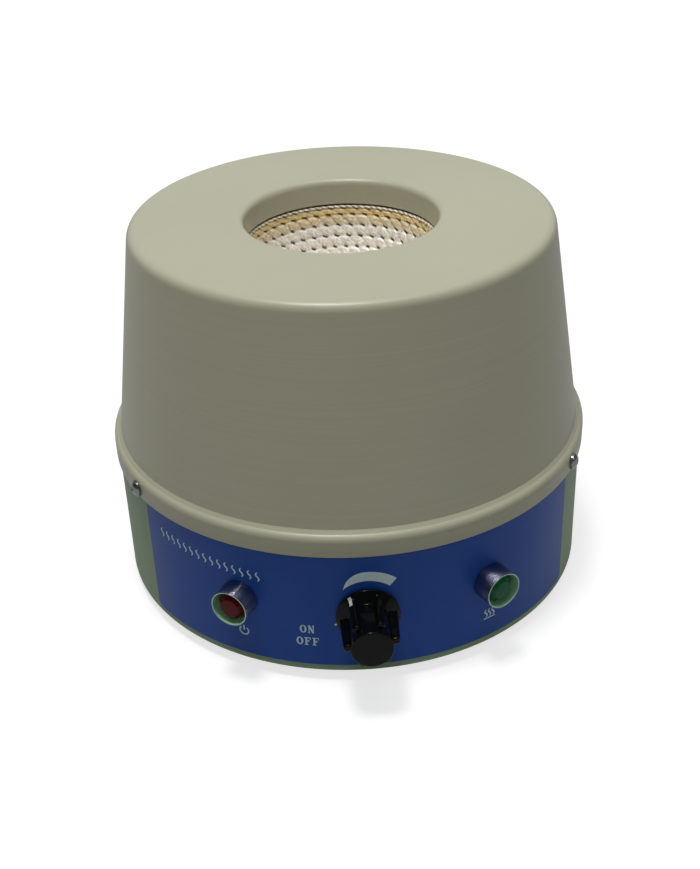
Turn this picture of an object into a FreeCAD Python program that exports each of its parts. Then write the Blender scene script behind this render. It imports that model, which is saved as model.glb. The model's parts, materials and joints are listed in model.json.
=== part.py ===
import FreeCAD, Part
import math
import os
import re

import Sketcher

# Laboratory heating mantle for a 250 ml round-bottomed flask.
# Z is up. The origin is on the axis of the shell, at the level the feet stand on.
# The control knob faces -Y. Azimuths are counted from -Y, positive towards +X.

# ---------------------------------------------------------------- driving sizes
# Lengths in millimetres, turns in degrees.
SIZES = {
    # upper shell, spun from one sheet
    "sheet": 1.0,            # wall of the shell and of the base pan
    "skirt_rad": 115.0,      # outside of the skirt
    "skirt_foot": 69.4,      # height of the skirt's lower edge
    "bead_mid": 76.5,        # height of the centre of the shoulder's round
    "bead_round": 5.1,
    "cone_inset": 3.6,       # from the skirt in to where the cone leaves the shoulder
    "cone_top_rad": 97.3,
    "top_height": 179.3,
    "top_round": 5.0,
    "mouth_rad": 44.5,
    "mouth_round": 3.5,
    "lip_drop": 12.4,        # depth of the turned-down lip below the top
    # base pan
    "skirt_gap": 0.3,        # between the skirt and the pan inside it
    "floor_gap": 5.6,        # height of the pan's underside
    "pan_top": 77.2,
    "pan_round": 1.2,
    # printed film round the front of the pan
    "film_thick": 0.25,
    "film_foot": 9.3,
    "film_top": 68.5,
    "film_angle": 116.6,
    "film_corner": 3.0,
    # control knob and potentiometer
    "knob_mid": 38.0,
    "knob_gap": 1.0,
    "knob_rad": 14.3,
    "knob_edge": 0.8,
    "knob_round": 0.6,
    "grip_foot": 4.7,
    "grip_rad": 9.2,
    "grip_end": 24.2,
    "lobe_foot_rad": 12.9,
    "lobe_rad": 12.2,
    "lobe_end": 21.0,
    "lobe_wide": 3.4,
    "lobe_round": 1.2,
    "lobe_count": 6,
    "lobe_angle": 6.6,
    "knob_hollow_rad": 8.0,
    "knob_hollow": 4.2,
    "shaft_rad": 3.0,
    "shaft_end": 19.0,
    "shaft_foot": -9.0,
    "shaft_flat": 1.2,       # depth of the flat along the shaft
    "shaft_play": 0.05,
    "neck_rad": 4.5,
    "neck_end": 4.6,
    "pot_rad": 12.0,
    "pot_face": 2.2,         # from the film's face back to the potentiometer's can
    "pot_deep": 12.0,
    "switch_rad": 10.8,
    "switch_deep": 9.0,
    "pot_nut_flats": 13.0,
    "pot_nut_thick": 2.4,
    "pot_washer_rad": 7.5,
    "pot_washer_thick": 0.6,
    "grub_rad": 1.5,
    "grub_long": 5.0,
    # indicator lamps
    "lamp_angle": 29.3,
    "lamp_mid": 41.0,
    "bezel_rad": 8.75,
    "bezel_out": 10.0,
    "bezel_rim": 0.5,
    "cup_floor": 2.6,
    "cup_floor_rad": 7.0,
    "cup_curve": 20.0,       # radius of the cup's wall in section
    "lens_rad": 4.6,         # round stem of the lens in the bezel's bore
    "lens_in": 3.0,
    "lens_gap": 0.5,         # between the lens's corners and the foot of the cup
    "lens_side": 3.0,        # height of the lens's upright faces
    "lens_crown": 3.6,       # height of its sloping faces
    "crown_angle": 41.0,
    "lens_faces": 8,
    "stem_rad": 6.0,
    "stem_in": 15.0,
    "lamp_nut_flats": 16.0,
    "lamp_nut_thick": 3.0,
    "lamp_tube_rad": 5.2,
    "lamp_tube_in": 26.0,
    # fasteners
    "fit_gap": 0.2,          # radial clearance of screws in their holes
    "seat_gap": 0.05,        # between faces that bear on each other
    "screw_rad": 2.0,
    "head_rad": 3.9,
    "head_high": 2.8,
    "nut_flats": 7.0,
    "nut_thick": 3.2,
    "shell_screw_mid": 73.3,
    "shell_screw_in": 7.0,
    "screw_angle": 61.0,
    "small_screw_rad": 1.5,
    "small_head_rad": 2.75,
    "small_head_high": 1.8,
    "small_nut_flats": 5.5,
    "small_nut_thick": 2.4,
    # feet
    "foot_inset": 18.7,      # from the pan's side in to a foot's axis
    "foot_rad": 10.0,
    "foot_tip_rad": 8.5,
    "foot_recess_rad": 4.6,
    "foot_recess": 3.5,
    "foot_screw_tip": 8.0,   # how far the screw stands up inside the pan
    # woven heating bowl and what holds it
    "bowl_rad": 44.0,        # to the crests of the rows of yarn
    "bowl_gap": 0.4,         # between the lip's edge and the bowl's rim
    "row_deep": 0.9,
    "row_count": 13,
    "weave_thick": 2.6,
    "pin_rad": 0.55,
    "pin_count": 46,
    "pin_rows": 2,
    "hem_rad": 2.4,
    "soft_gap": 0.3,
    "shield_gap": 5.4,       # between the cone's foot and the shield inside it
    "shield_height": 86.0,
    "spacer_inset": 21.0,    # from the shield's edge in to a spacer's axis
    "spacer_angle": 45.0,
    "spacer_rad": 4.0,
    # mains inlet in its recess at the back
    "inlet_mid": 38.0,
    "recess_wide": 60.0,
    "recess_high": 36.0,
    "recess_deep": 8.7,
    "inlet_wide": 50.0,
    "inlet_high": 27.0,
    "inlet_flange": 3.0,
    "inlet_body_wide": 28.0,
    "inlet_body_high": 20.0,
    "inlet_deep": 19.0,
    "socket_wide": 24.4,
    "socket_high": 16.4,
    "socket_deep": 15.5,
    "socket_cut": 4.6,
    "pin_wide": 2.0,
    "pin_high": 4.0,
    "pin_out": 13.0,
    "pin_tail": 7.0,
    "pin_pitch": 14.0,
    "pin_step": 4.0,
    "inlet_screw_pitch": 40.0,
    # control board, its heat sink and the terminal block
    "board_x": 0.0,
    "board_y": 34.0,
    "board_wide": 74.0,
    "board_deep": 48.0,
    "board_thick": 1.6,
    "post_high": 8.0,
    "post_rad": 3.2,
    "post_inset": 5.0,
    "sink_wide": 34.0,
    "sink_deep": 18.0,
    "sink_high": 28.0,
    "sink_base": 3.0,
    "fin_thick": 1.6,
    "fin_count": 5,
    "triac_wide": 10.0,
    "triac_thick": 4.5,
    "triac_high": 15.0,
    "block_y": -28.0,
    "block_wide": 42.0,
    "block_deep": 18.0,
    "block_high": 14.0,
    "way_rad": 2.6,
    "way_pitch": 13.0,
    "earth_x": 58.0,
    "earth_y": 40.0,
    "lead_rad": 1.6,
    "lead_shift": 9.0,
    "lead_drop": 12.0,       # straight run of a lead below the shield
    "lead_bend": 24.0,       # height above the block where a lead turns down to it
    "grommet_rad": 5.0,
}

doc = FreeCAD.newDocument("heating_mantle")
sheet = doc.addObject("Spreadsheet::Sheet", "Sizes")
for row, (alias, size) in enumerate(SIZES.items(), 1):
    sheet.set(f"A{row}", alias)
    sheet.set(f"B{row}", str(size))
    sheet.setAlias(f"B{row}", alias)
doc.recompute()

# ---------------------------------------------------------------- sizes worked out from them
PAN_RAD = "(skirt_rad - sheet - skirt_gap)"
FILM_FOOT_RAD = f"({PAN_RAD} + seat_gap)"
FILM_RAD = f"({FILM_FOOT_RAD} + film_thick)"
PAN_FLOOR = "(floor_gap + sheet)"
BEAD_MID_RAD = "(skirt_rad - bead_round)"
CONE_FOOT_RAD = "(skirt_rad - cone_inset)"
CONE_FOOT = f"(bead_mid + sqrt(bead_round^2 - ({CONE_FOOT_RAD} - {BEAD_MID_RAD})^2))"
CONE_LEAN = f"(({CONE_FOOT_RAD} - cone_top_rad) / (top_height - {CONE_FOOT}))"
LIP_FOOT = "(top_height - lip_drop)"
BOWL_MID = f"({LIP_FOOT} - bowl_gap)"
BOWL_OUT = "(bowl_rad + row_deep + weave_thick)"
SHIELD_RAD = f"({CONE_FOOT_RAD} - sheet - shield_gap)"
SHIELD_TOP = "(shield_height + sheet)"
RECESS_FACE = f"({PAN_RAD} - recess_deep)"
LENS_SEAT = "(cup_floor + seat_gap)"
SCREW_HOLE = "(screw_rad + fit_gap)"
SMALL_HOLE = "(small_screw_rad + fit_gap)"


def bound(text):
    """Give a text in size names the form that the document's expressions need."""
    return re.sub(r"[a-z]+(?:_[a-z]+)*", lambda word: "Sizes." + word.group()
                  if word.group() in SIZES else word.group(), str(text))


def number(text):
    """Value of a text in size names."""
    found = sheet.evalExpression(bound(text))
    return float(getattr(found, "Value", found))


# ---------------------------------------------------------------- places
def place(x="0", y="0", z="0", tilt="0", turn="0"):
    """Placement text: a shift, and a tilt about X that follows a turn about Z."""
    spin = f"rotation(vector(0; 0; 1); {turn}) * rotation(vector(1; 0; 0); {tilt})"
    return f"placement(vector({x}; {y}; {z}); {spin})"


def outward(radius, height, azimuth="0"):
    """Placement text for a piece whose own Z points out of the wall at an azimuth."""
    return f"{place(turn=azimuth)} * {place(y=f'-{radius}', z=height, tilt='90')}"


def put(piece, where):
    """Bind the piece's Placement."""
    piece.setExpression("Placement", bound(where))
    return piece


# ---------------------------------------------------------------- sketches
PLANES = {"XY": "XY_Plane", "XZ": "XZ_Plane", "YZ": "YZ_Plane"}


def origin_part(body, role):
    """Origin plane or axis of a body."""
    return [part for part in body.Origin.OriginFeatures if part.Role == role][0]


def new_sketch(body, plane, name, lift="0"):
    """Sketch on one of the body's own planes, lifted along its normal."""
    drawing = body.newObject("Sketcher::SketchObject", name)
    drawing.AttachmentSupport = [(origin_part(body, PLANES[plane]), "")]
    drawing.MapMode = "FlatFace"
    if lift != "0":
        drawing.setExpression("AttachmentOffset.Base.z", bound(lift))
    return drawing


def hold(drawing, kind, geometry, end, text):
    """Bind one coordinate of a point to the sheet."""
    index = drawing.addConstraint(Sketcher.Constraint(kind, -1, 1, geometry, end, number(text)))
    drawing.setExpression(f"Constraints[{index}]", bound(text))


def hold_radius(drawing, geometry, text):
    """Bind an arc's or a circle's radius to the sheet."""
    index = drawing.addConstraint(Sketcher.Constraint("Radius", geometry, number(text)))
    drawing.setExpression(f"Constraints[{index}]", bound(text))


def arc_between(start, end, radius):
    """Short arc from start to end; a positive radius turns left, a negative one right."""
    chord = end - start
    reach = math.sqrt(max(radius * radius - chord.Length * chord.Length / 4, 0))
    side = FreeCAD.Vector(-chord.y, chord.x, 0).normalize() * math.copysign(reach, radius)
    middle = (start + end) / 2 + side
    first, last = (start, end) if radius > 0 else (end, start)
    low = math.atan2(first.y - middle.y, first.x - middle.x)
    high = math.atan2(last.y - middle.y, last.x - middle.x)
    if high < low:
        high += 2 * math.pi
    circle = Part.Circle(middle, FreeCAD.Vector(0, 0, 1), abs(radius))
    return Part.ArcOfCircle(circle, low, high)


def outline(drawing, corners):
    """Closed outline. A corner is (x, y), with an optional dict: "round" is its fillet
    radius, "arc" the radius of the arc that leaves it, negative when it turns right."""
    spots, extras = [], []
    for corner in corners:
        spots.append(FreeCAD.Vector(number(corner[0]), number(corner[1]), 0))
        extras.append(corner[2] if len(corner) > 2 else {})
    count = len(corners)
    ins, outs, arcs = [], [], {}
    for i, spot in enumerate(spots):
        if "round" in extras[i]:
            back = (spots[i - 1] - spot).normalize()
            ahead = (spots[(i + 1) % count] - spot).normalize()
            radius = number(extras[i]["round"])
            half = back.getAngle(ahead) / 2
            ins.append(spot + back * (radius / math.tan(half)))
            outs.append(spot + ahead * (radius / math.tan(half)))
            turn = back.x * ahead.y - back.y * ahead.x
            arcs[i] = drawing.addGeometry(arc_between(ins[i], outs[i], -math.copysign(radius, turn)))
            arcs[i] = (arcs[i], turn < 0)
        else:
            ins.append(spot)
            outs.append(spot)
    sides = []
    for i in range(count):
        start, end = outs[i], ins[(i + 1) % count]
        if "arc" in extras[i]:
            radius = number(extras[i]["arc"])
            sides.append((drawing.addGeometry(arc_between(start, end, radius)), radius > 0))
        else:
            sides.append((drawing.addGeometry(Part.LineSegment(start, end)), True))
    for i in range(count):
        before, after = sides[i - 1], sides[i]
        end, start = (2 if before[1] else 1), (1 if after[1] else 2)
        if i in arcs:
            fillet, left = arcs[i]
            first, last = (1, 2) if left else (2, 1)
            drawing.addConstraint(Sketcher.Constraint("Tangent", before[0], end, fillet, first))
            drawing.addConstraint(Sketcher.Constraint("Tangent", fillet, last, after[0], start))
            hold_radius(drawing, fillet, extras[i]["round"])
            tip = drawing.addGeometry(Part.Point(spots[i]), True)
            hold(drawing, "DistanceX", tip, 1, corners[i][0])
            hold(drawing, "DistanceY", tip, 1, corners[i][1])
            drawing.addConstraint(Sketcher.Constraint("PointOnObject", tip, 1, before[0]))
            drawing.addConstraint(Sketcher.Constraint("PointOnObject", tip, 1, after[0]))
        else:
            drawing.addConstraint(Sketcher.Constraint("Coincident", before[0], end, after[0], start))
            hold(drawing, "DistanceX", after[0], start, corners[i][0])
            hold(drawing, "DistanceY", after[0], start, corners[i][1])
        if "arc" in extras[i]:
            hold_radius(drawing, sides[i][0], extras[i]["arc"].lstrip("-"))
    return drawing


def box_corners(left, low, right, high):
    """The four corners of an upright rectangle."""
    return [(left, low), (right, low), (right, high), (left, high)]


# ---------------------------------------------------------------- ways to make a piece
def new_body(label):
    """Empty body."""
    body = doc.addObject("PartDesign::Body", label)
    body.Label = label
    return body


def revolve(body, drawing, turn="360"):
    """Turn a sketch about its own upright axis."""
    feature = body.newObject("PartDesign::Revolution", body.Name + "_turn")
    feature.Profile = drawing
    feature.ReferenceAxis = (drawing, ["V_Axis"])
    feature.Midplane = True
    feature.setExpression("Angle", bound(turn))
    return feature


def turned(label, corners, turn="360"):
    """Body turned about its own Z axis from half a section drawn in (radius, height)."""
    body = new_body(label)
    revolve(body, outline(new_sketch(body, "XZ", label + "_half"), corners), turn)
    return body


def plate(label, corners, low, thick, holes=()):
    """Body padded up from height low; holes are (x, y, radius) in the same sketch."""
    body = new_body(label)
    drawing = outline(new_sketch(body, "XY", label + "_face", low), corners)
    for x, y, radius in holes:
        middle = FreeCAD.Vector(number(x), number(y), 0)
        circle = Part.Circle(middle, FreeCAD.Vector(0, 0, 1), number(radius))
        ring = drawing.addGeometry(circle)
        hold(drawing, "DistanceX", ring, 3, x)
        hold(drawing, "DistanceY", ring, 3, y)
        hold_radius(drawing, ring, radius)
    pad = body.newObject("PartDesign::Pad", label + "_pad")
    pad.Profile = drawing
    pad.setExpression("Length", bound(thick))
    return body


def rod(name, radius, length, low="0", where=None):
    """Cylinder along its own Z axis from height low."""
    cylinder = doc.addObject("Part::Cylinder", name)
    cylinder.setExpression("Radius", bound(radius))
    cylinder.setExpression("Height", bound(length))
    return put(cylinder, f"{where or place()} * {place(z=low)}")


def block(name, x, y, z, wide, deep, high, where=None):
    """Box centred on x and y, standing on height z."""
    box = doc.addObject("Part::Box", name)
    box.setExpression("Length", bound(wide))
    box.setExpression("Width", bound(deep))
    box.setExpression("Height", bound(high))
    corner = place(x=f"{x} - ({wide}) / 2", y=f"{y} - ({deep}) / 2", z=z)
    return put(box, f"{where or place()} * {corner}")


def prism(name, flats, thick, low="0"):
    """Hexagonal bar along its own Z axis."""
    bar = doc.addObject("Part::Prism", name)
    bar.Polygon = 6
    bar.setExpression("Circumradius", bound(f"{flats} / (2 * cos(30))"))
    bar.setExpression("Height", bound(thick))
    return put(bar, place(z=low))


def cut(name, base, tools):
    """Base less its tools."""
    tool = tools[0]
    if len(tools) > 1:
        tool = doc.addObject("Part::MultiFuse", name + "_tools")
        tool.Shapes = tools
    feature = doc.addObject("Part::Cut", name)
    feature.Base, feature.Tool = base, tool
    return feature


def fuse(name, pieces):
    """Pieces joined into one."""
    feature = doc.addObject("Part::MultiFuse", name)
    feature.Shapes = pieces
    feature.Refine = True
    return feature


def group(name, piece, places):
    """Equal copies of one piece, each at its own place, kept as one node."""
    copies = []
    for index, where in enumerate(places, 1):
        copy = doc.addObject("App::Link", f"{name}_{index}")
        copy.LinkedObject = piece
        copies.append(put(copy, where))
    compound = doc.addObject("Part::Compound", name)
    compound.Links = copies
    return compound


def nut(name, flats, thick, hole):
    """Hexagon nut standing on its own XY plane."""
    return cut(name, prism(name + "_bar", flats, thick), [rod(name + "_bore", hole, thick)])


def pan_head(name, radius, head, head_high, length):
    """Pan-head screw: the head stands on its own XY plane, the shank points down."""
    dome = f"({head_high} * 0.65)"
    return turned(name, [
        ("0", f"-({length})"), (radius, f"-({length})"), (radius, "0"), (head, "0"),
        (head, f"{head_high} - {dome}", {"arc": f"({head}^2 + {dome}^2) / (2 * {dome})"}),
        ("0", head_high)])


nodes = {}


def keep(label, piece):
    """Name a finished sub-part after its node."""
    piece.Label = label
    nodes[label] = piece
    return piece


# ---------------------------------------------------------------- where things sit
SHELL_SCREWS = [outward("skirt_rad", "shell_screw_mid", turn)
                for turn in ("screw_angle", "-screw_angle", "180")]
KNOB_PLACE = outward(FILM_RAD, "knob_mid")
LAMP_PLACES = {"red": outward(FILM_RAD, "lamp_mid", "-lamp_angle"),
               "green": outward(FILM_RAD, "lamp_mid", "lamp_angle")}
FOOT_PLACES = [f"{place(turn=turn)} * {place(y=f'foot_inset - {PAN_RAD}')}"
               for turn in ("screw_angle", "-screw_angle", "180")]
SPACER_PLACES = [f"{place(turn=f'spacer_angle + {quarter} * 90')} * "
                 f"{place(y=f'spacer_inset - {SHIELD_RAD}')}"
                 for quarter in range(4)]
BOARD_PLACES = [place(x=f"board_x + {side_x} * (board_wide / 2 - post_inset)",
                      y=f"board_y + {side_y} * (board_deep / 2 - post_inset)")
                for side_x in (-1, 1) for side_y in (-1, 1)]
INLET_PLACE = outward(RECESS_FACE, "inlet_mid", "180")
INLET_SCREWS = [f"{INLET_PLACE} * {place(x=f'{side} * inlet_screw_pitch / 2')}"
                for side in (-1, 1)]
BLOCK_PLACE = place(y="block_y")
EARTH_PLACE = place(x="earth_x", y="earth_y")


def floor_drills(name, places, radius):
    """Drills up through the floor of the pan."""
    return [rod(f"{name}_{index}", radius, "3 * sheet", "floor_gap - sheet", where)
            for index, where in enumerate(places, 1)]


def panel_drills(name):
    """Drills for the potentiometer's neck and the two lamps."""
    reach, low = "5 * sheet", "-4 * sheet"
    drills = [rod(name + "_knob", "neck_rad + fit_gap", reach, low, KNOB_PLACE)]
    for colour, where in LAMP_PLACES.items():
        drills.append(rod(f"{name}_{colour}", "stem_rad + fit_gap", reach, low, where))
    return drills


# ---------------------------------------------------------------- upper shell
def make_upper_shell():
    """Spun shell: skirt, shoulder, cone, flat top and turned-down lip."""
    inner_foot_rad = f"({CONE_FOOT_RAD} - sheet)"
    inner_foot = (f"(bead_mid + sqrt((bead_round - sheet)^2"
                  f" - ({inner_foot_rad} - {BEAD_MID_RAD})^2))")
    blank = turned("shell_spinning", [
        ("skirt_rad", "skirt_foot"),
        ("skirt_rad", "bead_mid", {"arc": "bead_round"}),
        (CONE_FOOT_RAD, CONE_FOOT),
        ("cone_top_rad", "top_height", {"round": "top_round"}),
        ("mouth_rad", "top_height", {"round": "mouth_round"}),
        ("mouth_rad", LIP_FOOT),
        ("mouth_rad + sheet", LIP_FOOT),
        ("mouth_rad + sheet", "top_height - sheet", {"round": "mouth_round - sheet"}),
        (f"cone_top_rad + {CONE_LEAN} * sheet - sheet", "top_height - sheet",
         {"round": "top_round - sheet"}),
        (inner_foot_rad, inner_foot, {"arc": "-(bead_round - sheet)"}),
        ("skirt_rad - sheet", "bead_mid"),
        ("skirt_rad - sheet", "skirt_foot")])
    drills = [rod(f"skirt_drill_{index}", SCREW_HOLE, "4 * sheet", "-2 * sheet", where)
              for index, where in enumerate(SHELL_SCREWS, 1)]
    keep("upper_shell", cut("upper_shell", blank, drills))


# ---------------------------------------------------------------- base pan and its film
def make_base_pan():
    """Pressed pan with a recess at the back, drilled for all that it carries."""
    blank = turned("pan_pressing", [
        ("0", "floor_gap"),
        (PAN_RAD, "floor_gap", {"round": "pan_round"}),
        (PAN_RAD, "pan_top"),
        (f"{PAN_RAD} - sheet", "pan_top"),
        (f"{PAN_RAD} - sheet", PAN_FLOOR, {"round": "pan_round - sheet"}),
        ("0", PAN_FLOOR)])
    recess_low = "inlet_mid - recess_high / 2"
    recess_y = f"{RECESS_FACE} + recess_deep"
    dent = block("recess_outside", "0", f"{recess_y} - sheet", f"{recess_low} - sheet",
                 "recess_wide + 2 * sheet", "2 * recess_deep", "recess_high + 2 * sheet")
    inside = rod("pan_inside", f"{PAN_RAD} - sheet / 2", "pan_top", "floor_gap")
    pressed = doc.addObject("Part::MultiCommon", "recess_sheet")
    pressed.Shapes = [dent, inside]
    hollow = block("recess_inside", "0", recess_y, recess_low,
                   "recess_wide", "2 * recess_deep", "recess_high")
    window = block("inlet_window", "0", "0", "-4 * sheet",
                   "inlet_body_wide + 2 * fit_gap", "inlet_body_high + 2 * fit_gap",
                   "8 * sheet", INLET_PLACE)
    drills = [rod(f"pan_drill_{index}", SCREW_HOLE, "6 * sheet", "-5 * sheet", where)
              for index, where in enumerate(SHELL_SCREWS, 1)]
    drills += [rod(f"inlet_drill_{index}", SMALL_HOLE, "6 * sheet", "-4 * sheet", where)
               for index, where in enumerate(INLET_SCREWS, 1)]
    drills += floor_drills("foot_drill", FOOT_PLACES, SCREW_HOLE)
    drills += floor_drills("spacer_drill", SPACER_PLACES, SCREW_HOLE)
    drills += floor_drills("board_drill", BOARD_PLACES, SMALL_HOLE)
    drills += floor_drills("block_drill", [BLOCK_PLACE], SMALL_HOLE)
    drills += floor_drills("earth_drill", [EARTH_PLACE], SCREW_HOLE)
    drills += panel_drills("pan_panel")
    sheet_work = fuse("pan_with_recess", [blank, pressed])
    keep("base_pan", cut("base_pan", sheet_work, [hollow, window] + drills))


def make_control_panel():
    """Film bonded round the front of the pan, with rounded corners."""
    film = turned("film_blank", box_corners(FILM_FOOT_RAD, "film_foot", FILM_RAD, "film_top"),
                  "film_angle")
    doc.recompute()
    upright = [f"Edge{index}" for index, edge in enumerate(film.Shape.Edges, 1)
               if abs(edge.Length - number("film_thick")) < 0.01]
    ring = film.Tip
    corners = film.newObject("PartDesign::Fillet", "film_corners")
    corners.Base = (ring, upright)
    corners.setExpression("Radius", bound("film_corner"))
    put(film, place(turn="-90"))
    keep("control_panel", cut("control_panel", film, panel_drills("film_panel")))


# ---------------------------------------------------------------- knob and potentiometer
def make_knob():
    """Moulded knob: sloping skirt, round grip with tapered lobes, hollow and bore behind."""
    knob = turned("knob_moulding", [
        ("shaft_rad + shaft_play", "knob_gap + knob_hollow"),
        ("knob_hollow_rad", "knob_gap + knob_hollow"),
        ("knob_hollow_rad", "knob_gap"),
        ("knob_rad", "knob_gap"),
        ("knob_rad", "knob_gap + knob_edge", {"round": "knob_round"}),
        ("grip_rad", "grip_foot", {"round": "knob_round"}),
        ("grip_rad", "grip_end", {"round": "knob_round"}),
        ("0", "grip_end"),
        ("0", "shaft_end + seat_gap"),
        ("shaft_rad + shaft_play", "shaft_end + seat_gap")])
    faces = []
    for name, reach, level in (("lobe_foot", "lobe_foot_rad", "knob_gap + knob_edge"),
                               ("lobe_tip", "lobe_rad", "lobe_end")):
        face = new_sketch(knob, "XY", name, level)
        outline(face, [
            ("(knob_hollow_rad + grip_rad) / 2", "-lobe_wide / 2"),
            (reach, "-lobe_wide / 2", {"round": "lobe_round"}),
            (reach, "lobe_wide / 2", {"round": "lobe_round"}),
            ("(knob_hollow_rad + grip_rad) / 2", "lobe_wide / 2")])
        faces.append(face)
    lobe = knob.newObject("PartDesign::AdditiveLoft", "lobe")
    lobe.Profile = faces[0]
    lobe.Sections = faces[1:]
    lobes = knob.newObject("PartDesign::PolarPattern", "lobes")
    lobes.Originals = [lobe]
    lobes.Axis = (origin_part(knob, "Z_Axis"), [""])
    lobes.Angle = 360
    lobes.setExpression("Occurrences", bound("lobe_count"))
    knob.Tip = lobes
    put(knob, f"{KNOB_PLACE} * {place(turn='lobe_angle')}")
    grub_hole = rod("grub_hole", "grub_rad + shaft_play", "knob_rad", "0", GRUB_PLACE)
    keep("control_knob", cut("control_knob", knob, [grub_hole]))


GRUB_PLACE = f"{KNOB_PLACE} * {place(z='(grip_foot + lobe_end) / 2', tilt='-90')}"


def make_pot():
    """Potentiometer with its switch, the shaft, its grub screw, the nut and the washer."""
    can = turned("pot_body", [
        ("0", "-(pot_face + pot_deep + switch_deep)"),
        ("switch_rad", "-(pot_face + pot_deep + switch_deep)"),
        ("switch_rad", "-(pot_face + pot_deep)"),
        ("pot_rad", "-(pot_face + pot_deep)"),
        ("pot_rad", "-pot_face"),
        ("neck_rad", "-pot_face"),
        ("neck_rad", "neck_end"),
        ("shaft_rad + shaft_play", "neck_end"),
        ("shaft_rad + shaft_play", "shaft_foot - seat_gap"),
        ("0", "shaft_foot - seat_gap")])
    keep("pot_body", put(can, KNOB_PLACE))
    bar = rod("shaft_bar", "shaft_rad", "shaft_end - shaft_foot", "shaft_foot", KNOB_PLACE)
    flat = block("shaft_flat", "0", "2 * shaft_rad - shaft_flat", "neck_end + sheet",
                 "4 * shaft_rad", "2 * shaft_rad", "shaft_end", KNOB_PLACE)
    keep("pot_shaft", cut("pot_shaft", bar, [flat]))
    grub = rod("knob_set_screw", "grub_rad", "grub_long",
               "shaft_rad - shaft_flat + seat_gap", GRUB_PLACE)
    keep("knob_set_screw", grub)
    ring = turned("pot_washer", box_corners("neck_rad + seat_gap", "seat_gap",
                                            "pot_washer_rad", "seat_gap + pot_washer_thick"))
    keep("pot_washer", put(ring, KNOB_PLACE))
    hexagon = nut("pot_nut", "pot_nut_flats", "pot_nut_thick", "neck_rad + seat_gap")
    keep("pot_nut", put(hexagon, f"{KNOB_PLACE} * {place(z='2 * seat_gap + pot_washer_thick')}"))


# ---------------------------------------------------------------- indicator lamps
def faceted_lens(label):
    """Moulded lens: round stem, then a head with upright faces and a sloping crown."""
    lens = turned(label, box_corners("0", "-lens_in", "lens_rad", LENS_SEAT))
    corner = "(cup_floor_rad - lens_gap)"
    steps = [f"(360 * {index + 0.5} / lens_faces)" for index in range(int(number("lens_faces")))]
    corners = [(f"{corner} * cos({step})", f"{corner} * sin({step})") for step in steps]
    for name, low, high, lean in (("sides", LENS_SEAT, "lens_side", "0"),
                                  ("crown", f"{LENS_SEAT} + lens_side", "lens_crown",
                                   "-crown_angle")):
        face = outline(new_sketch(lens, "XY", f"{label}_{name}_face", low), corners)
        pad = lens.newObject("PartDesign::Pad", f"{label}_{name}")
        pad.Profile = face
        pad.setExpression("Length", bound(high))
        pad.setExpression("TaperAngle", bound(lean))
    return lens


def make_lamp(colour, where):
    """Turned bezel with a reflector cup, lens, nut behind the wall and lamp tube."""
    bezel = turned(f"{colour}_lamp_bezel", [
        ("lens_rad + seat_gap", "-stem_in"),
        ("stem_rad", "-stem_in"),
        ("stem_rad", "seat_gap"),
        ("bezel_rad", "seat_gap"),
        ("bezel_rad", "bezel_out"),
        ("bezel_rad - bezel_rim", "bezel_out", {"arc": "-cup_curve"}),
        ("cup_floor_rad", "cup_floor"),
        ("lens_rad + seat_gap", "cup_floor")])
    keep(f"{colour}_lamp_bezel", put(bezel, where))
    keep(f"{colour}_lamp_lens", put(faceted_lens(f"{colour}_lamp_lens"), where))
    tube = turned(f"{colour}_lamp_tube", [
        ("0", "-lamp_tube_in"), ("lamp_tube_rad", "-lamp_tube_in"),
        ("lamp_tube_rad", "-(stem_in + seat_gap)"),
        ("lens_rad", "-(stem_in + seat_gap)"), ("lens_rad", "-(lens_in + seat_gap)"),
        ("0", "-(lens_in + seat_gap)")])
    keep(f"{colour}_lamp_tube", put(tube, where))
    back = "sheet + film_thick + seat_gap + lamp_nut_flats^2 / (6 * skirt_rad) + seat_gap"
    ring = nut(f"{colour}_lamp_nut", "lamp_nut_flats", "lamp_nut_thick", "stem_rad + seat_gap")
    keep(f"{colour}_lamp_nut", put(ring, f"{where} * {place(z=f'-({back} + lamp_nut_thick)')}"))


# ---------------------------------------------------------------- screws and feet
def make_shell_screws():
    """Three screws that fasten the skirt to the pan, and their nuts."""
    length = "sheet * 2 + skirt_gap + shell_screw_in"
    screw = pan_head("shell_screw", "screw_rad", "head_rad", "head_high", length)
    keep("shell_screws", group("shell_screws", screw,
                               [f"{where} * {place(z='seat_gap')}" for where in SHELL_SCREWS]))
    hexagon = nut("shell_nut", "nut_flats", "nut_thick", "screw_rad + seat_gap")
    inside = "2 * sheet + skirt_gap + nut_flats^2 / (6 * skirt_rad) + seat_gap + nut_thick"
    keep("shell_nuts", group("shell_nuts", hexagon,
                             [f"{where} * {place(z=f'-({inside})')}" for where in SHELL_SCREWS]))


def make_feet():
    """Three rubber feet, each held by a screw from below."""
    for index, where in enumerate(FOOT_PLACES, 1):
        foot = turned(f"rubber_foot_{index}", [
            (SCREW_HOLE, "foot_recess"), ("foot_recess_rad", "foot_recess"),
            ("foot_recess_rad", "0"), ("foot_tip_rad", "0"),
            ("foot_rad", "floor_gap"), (SCREW_HOLE, "floor_gap")])
        keep(f"rubber_foot_{index}", put(foot, where))
    length = "floor_gap - foot_recess + foot_screw_tip"
    screw = pan_head("foot_screw", "screw_rad", "head_rad", "head_high", length)
    flip = place(z="foot_recess - seat_gap", tilt="180")
    keep("foot_screws", group("foot_screws", screw, [f"{where} * {flip}" for where in FOOT_PLACES]))
    hexagon = nut("foot_nut", "nut_flats", "nut_thick", "screw_rad + seat_gap")
    lift = place(z=f"{PAN_FLOOR} + seat_gap")
    keep("foot_nuts", group("foot_nuts", hexagon, [f"{where} * {lift}" for where in FOOT_PLACES]))


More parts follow.
